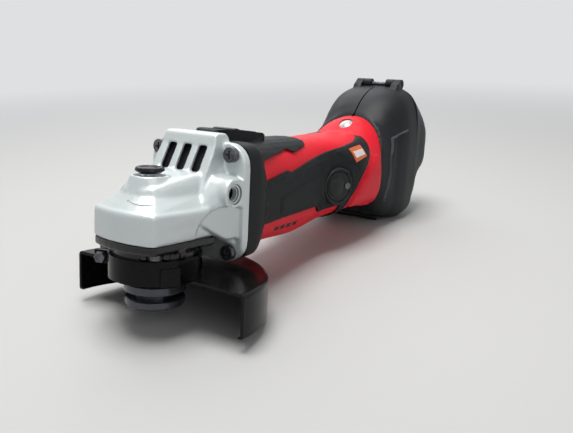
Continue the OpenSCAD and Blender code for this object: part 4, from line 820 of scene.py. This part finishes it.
def field(name, outlines, ground, body, material, lift, chamfer=0.0, sides=(-1, 1)):
    """Raised fields of one height, on one or both sides; all measures are in millimetres."""
    flatten, lay = ground
    whole = bmesh.new()
    for way in sides:
        flat = bmesh.new()
        loops = [[Vector((*flatten(*corner), 0)) for corner in outline] for outline in outlines]
        for loop in loops:
            flat.faces.new([flat.verts.new(corner) for corner in loop])
        if chamfer:
            bmesh.ops.inset_region(flat, faces=flat.faces[:], thickness=chamfer, use_even_offset=True,
                                   use_boundary=True)
        bmesh.ops.triangulate(flat, faces=flat.faces[:])
        cut_in_cells(flat)
        drawn = bmesh.ops.extrude_face_region(flat, geom=flat.faces[:])
        bmesh.ops.translate(flat, verts=points_in(drawn), vec=(0, 0, 1))
        for v in flat.verts:
            share = min(1, rim_distance(loops, v.co) / chamfer) if chamfer else 1
            in_upper_layer = v.co.z > 0.5
            height = RIM_DOWN + (lift - RIM_DOWN) * share if in_upper_layer else BACK
            spot = lay(v.co.x, v.co.y, height)
            v.co = Vector((spot.x, spot.y * way, spot.z)) * MM
        if flat.calc_volume(signed=True) < 0:
            bmesh.ops.reverse_faces(flat, faces=flat.faces[:])
        pour(flat, whole)
    astray = sum(1 for e in whole.edges if not e.is_contiguous)
    piece = new_piece(name, whole, body, material)
    print(name, "has", len(piece.data.polygons), "faces,", astray, "edges astray")


# %% Round outlines
def arc_point(cx, cz, rx, rz, degrees):
    """One point of an ellipse."""
    a = math.radians(degrees)
    return cx + rx * math.cos(a), cz + rz * math.sin(a)


def arc_points(cx, cz, rx, rz, first, last, steps):
    """Points of an ellipse from one angle to another, in degrees."""
    return [arc_point(cx, cz, rx, rz, first + (last - first) * i / steps) for i in range(steps + 1)]


# %% Fields of the soft grip
GRIP = side_ground(HOUSING, HOUSING_MID, grow=1.2)
HARD = side_ground(HOUSING, HOUSING_MID)
SHELL = side_ground(CASE, CASE_MID)
BRUSH_X, BRUSH_Z = 137.5, 43.0
ROUND_HALF_W, ROUND_HALF_H, ROUND_FROM, ROUND_TO = 12.8, 13.4, 25, 255
tool_body = nodes["grip_overmould"]["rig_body"]

cover_arc = arc_points(BRUSH_X, BRUSH_Z, ROUND_HALF_W, ROUND_HALF_H, ROUND_FROM, ROUND_TO, 24)
lower_outline = [(71, 31), (71, 42), (134.5, 58.8), (146, 55), (152.5, 49.6), *cover_arc,
                 (122, 29.4), (118, 33)]
upper_outline = [(59.5, 31), (58.4, 47.6), (82.9, 51.1), (130.8, 60.5), (133.5, 64.6), (99.4, 58.0),
                 (86, 55), (80.6, 56.6), (56.5, 52.6), (53.4, 50), (54, 31)]
badge_outline = [(136.3, 65.4), (146.1, 58.3), (156.6, 52.8), (160.5, 50.4), (173.2, 62.8),
                 (181, 71.4), (171.5, 70.3)]
field("grip_lower_field", [lower_outline], GRIP, tool_body, SOFT_GRIP, lift=0.45, chamfer=0.5)
field("grip_upper_band", [upper_outline], GRIP, tool_body, SOFT_GRIP, lift=0.35, chamfer=0.4)
field("grip_badge_field", [badge_outline], GRIP, tool_body, SOFT_GRIP, lift=0.40, chamfer=0.4)

# %% Plain badge, with no lettering
plate_outline = [(150.2, 66.6), (165.7, 68.4), (167.2, 61.3), (153.1, 58)]
blank_outline = [(152.6, 64.6), (164.4, 66.0), (165.4, 62.6), (154.4, 60.6)]
field("badge_plate", [plate_outline], GRIP, tool_body, BADGE_ORANGE, lift=0.75)
field("badge_blank", [blank_outline], GRIP, tool_body, BADGE_PALE, lift=1.0)

# %% Field of the red ring, and the painted shade of the air slots under it
SLOTS_FROM, SLOT_LOW, SLOT_HIGH, SLOT_LONG = (72, 79, 86, 93), 22.3, 24.9, 5.2

ring_outline = [(188.2, 62.8), (180.8, 61.5), (170.1, 54.5), (162.7, 47.2), (156.5, 40.4),
                (152.3, 34.1), (153.5, 27), (190, 24)]
field("ring_lower_field", [ring_outline], HARD, tool_body, RED_PLASTIC, lift=1.5, chamfer=1.3)
# The air slots are flat dark patches, painted shade where the openings are.
slot_outlines = [[(x, SLOT_LOW), (x, SLOT_HIGH), (x + SLOT_LONG, SLOT_HIGH), (x + SLOT_LONG, SLOT_LOW)]
                 for x in SLOTS_FROM]
field("air_slot_shade", slot_outlines, HARD, tool_body, DARK_NYLON_AND_SHADE, lift=0.06)

# %% Raised strip of the battery case
strip_outline = [(236, 81.6), (208, 72.5), (205.1, 59.2), (205.9, 45.1), (202.3, 30.4), (200.4, 25),
                 (205.5, 25), (209.5, 32), (213.1, 44.6), (213, 58.8), (213.4, 70.5), (230.7, 77)]
face_outline = [(229, 77.6), (210.2, 71.4), (207.6, 59.2), (208.4, 44.6), (205.0, 31.0), (203.6, 26.6),
                (204.9, 26.6), (208.3, 32.4), (211.9, 44.8), (211.8, 58.9), (212.3, 70.6)]
# The strip's chamfered rim wears the lighter grey as a painted highlight; the face on top keeps the case
# colour.
field("case_strip", [strip_outline], SHELL, tool_body, STRIP_RIM_HIGHLIGHT, lift=1.1, chamfer=1.2)
field("case_strip_face", [face_outline], SHELL, tool_body, CASE_PLASTIC, lift=1.2)

# %% Turning arrow on the shoulder of the gear case
ARROW_AT, ARROW_STEPS = (-6.5, -5.5), 12
SHAFT_OUT_R, SHAFT_IN_R = 13.8, 12.9
HEAD_OUT_R, TIP_R, HEAD_IN_R = 14.5, 13.35, 12.2
TAIL, NECK, TIP = 222, 162, 153


def on_arrow(radius, degrees):
    """A corner of the arrow, by its distance and direction from the middle of its bend."""
    return arc_point(*ARROW_AT, radius, radius, degrees)


arrow = (arc_points(*ARROW_AT, SHAFT_OUT_R, SHAFT_OUT_R, NECK, TAIL, ARROW_STEPS)
         + arc_points(*ARROW_AT, SHAFT_IN_R, SHAFT_IN_R, TAIL, NECK, ARROW_STEPS)
         + [on_arrow(HEAD_IN_R, NECK), on_arrow(TIP_R, TIP), on_arrow(HEAD_OUT_R, NECK)])
field("turning_arrow", [arrow], top_ground(gear_skin), tool_body, SILVER_PAINT, lift=0.4, sides=(1,))

# %% Seam between the two halves of the battery case
SEAM_HALF_W = 0.45
case_body = nodes["rear_case_left"]["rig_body"]
for name, start, end, up in (("case_seam_top", 200, 236, True), ("case_seam_bottom", 204, 242, False)):
    seam = [(start, -SEAM_HALF_W), (end, -SEAM_HALF_W), (end, SEAM_HALF_W), (start, SEAM_HALF_W)]
    field(name, [seam], middle_ground(CASE, CASE_MID, up), case_body, SEAM_SHADOW, lift=0.06, sides=(1,))

# %% [markdown]
# ## Brush covers and the lock button
# Round parts are spun from their half section. A brush cover has a raised rim
# that is open toward the rear, and a low boss beside its screw. The lock
# button is a low cap with a dished top and a soft rim. Its spring is a small
# circle spun while it climbs, and it is wound short enough for the pressed
# button, because a rigid spring can't shorten.

# %% Rim of a brush cover
COVER_TOP = 1.6
RIM_FROM, RIM_TURN, RIM_STEPS = math.radians(48), math.radians(252), 42

cover_detail = bmesh.new()
corners, edges = half_section(cover_detail, [
    (10.5, COVER_TOP - 1.2), (10.6, COVER_TOP + 0.5), (11.0, COVER_TOP + 0.9),
    (11.7, COVER_TOP + 0.9), (12.2, COVER_TOP + 0.5), (12.4, COVER_TOP - 1.2)])
bmesh.ops.rotate(cover_detail, verts=corners, cent=(0, 0, 0), matrix=Matrix.Rotation(RIM_FROM, 3, "Z"))
bmesh.ops.contextual_create(cover_detail, geom=edges)
bmesh.ops.spin(cover_detail, geom=cover_detail.faces[:], cent=(0, 0, 0), axis=AXES["Z"],
               angle=RIM_TURN, steps=RIM_STEPS, use_merge=False, use_duplicate=False)
print("the rim goes", round(math.degrees(RIM_TURN)), "degrees round")

# %% Boss of a brush cover
BOSS_BACK = -2.2

boss = bmesh.new()
spin_fully(boss, [(0.02, COVER_TOP - 0.5), (0.02, COVER_TOP + 0.9), (5.6, COVER_TOP + 0.8),
                  (6.2, COVER_TOP + 0.5), (6.4, COVER_TOP), (6.4, COVER_TOP - 0.5)])
bmesh.ops.translate(boss, verts=boss.verts, vec=(BOSS_BACK * MM, 0, 0))
pour(boss, cover_detail)
print("rim and boss have", len(cover_detail.faces), "faces")

# %% Set them on both covers
COVER_SEAT, COVER_LEAN, COVER_SHIFT = 27.6, math.radians(20), 0.1

along = Vector((math.cos(COVER_LEAN), -math.sin(COVER_LEAN), 0))
outward = Vector((-math.sin(COVER_LEAN), -math.cos(COVER_LEAN), 0))
stand = Matrix((along, (0, 0, 1), outward)).transposed().to_4x4()
stand.translation = Vector((BRUSH_X + COVER_SHIFT, -COVER_SEAT, BRUSH_Z)) * MM
bmesh.ops.transform(cover_detail, matrix=stand, verts=cover_detail.verts)
one_side = cover_detail.verts[:] + cover_detail.edges[:] + cover_detail.faces[:]
bmesh.ops.mirror(cover_detail, geom=one_side, axis="Y", merge_dist=-1)
bmesh.ops.recalc_face_normals(cover_detail, faces=cover_detail.faces)
print("cover detail open edges:", sum(1 for e in cover_detail.edges if not e.is_manifold))
new_piece("brush_cover_detail", cover_detail, tool_body, KNOB_PLASTIC)

# %% Lock button
BUTTON_X, BUTTON_FOOT, BUTTON_R, BUTTON_H, BUTTON_STEPS = -4.5, 60.4, 7.45, 3.3, 64

button = bmesh.new()
spin_fully(button, [
    (0.02, 0.2), (0.02, BUTTON_H - 0.5), (4.6, BUTTON_H - 0.45), (5.2, BUTTON_H - 0.05), (6.4, BUTTON_H),
    (7.0, BUTTON_H - 0.3), (7.35, BUTTON_H - 0.9), (BUTTON_R, 1.5), (5.4, 0.2)], steps=BUTTON_STEPS)
bmesh.ops.recalc_face_normals(button, faces=button.faces)
bmesh.ops.translate(button, verts=button.verts, vec=Vector((BUTTON_X, 0, BUTTON_FOOT)) * MM)
button_cap = new_piece("lock_button_cap", button, nodes["lock_button"]["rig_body"], BUTTON_GLOSS)
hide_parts("lock_button")
print("lock_button_cap has", len(button_cap.data.polygons), "faces,", 2 * BUTTON_R, "mm across")

# %% Lock spring, wound short enough for the pressed button
SPRING_AT = (-8.7, 0, 52.5)
COIL_R, COIL_RISE, COIL_TURNS, COIL_STEPS = 2.75, 3.9, 4, 96
WIRE_R, WIRE_SIDES = 0.38, 10

coil = bmesh.new()
wire_end = Matrix.Translation((COIL_R * MM, 0, 0)) @ Matrix.Rotation(math.pi / 2, 4, "X")
bmesh.ops.create_circle(coil, cap_ends=True, segments=WIRE_SIDES, radius=WIRE_R * MM, matrix=wire_end)
bmesh.ops.spin(coil, geom=coil.verts[:] + coil.edges[:] + coil.faces[:], cent=(0, 0, 0), axis=AXES["Z"],
               dvec=(0, 0, COIL_RISE * MM / COIL_STEPS), angle=COIL_TURNS * 2 * math.pi,
               steps=COIL_STEPS, use_duplicate=False)
bmesh.ops.recalc_face_normals(coil, faces=coil.faces)
bmesh.ops.translate(coil, verts=coil.verts, vec=Vector(SPRING_AT) * MM)
print("spring edges astray:", sum(1 for e in coil.edges if not e.is_contiguous))
spring_coil = new_piece("lock_spring_coil", coil, nodes["lock_spring"]["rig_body"], SPRING_STEEL)
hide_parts("lock_spring")
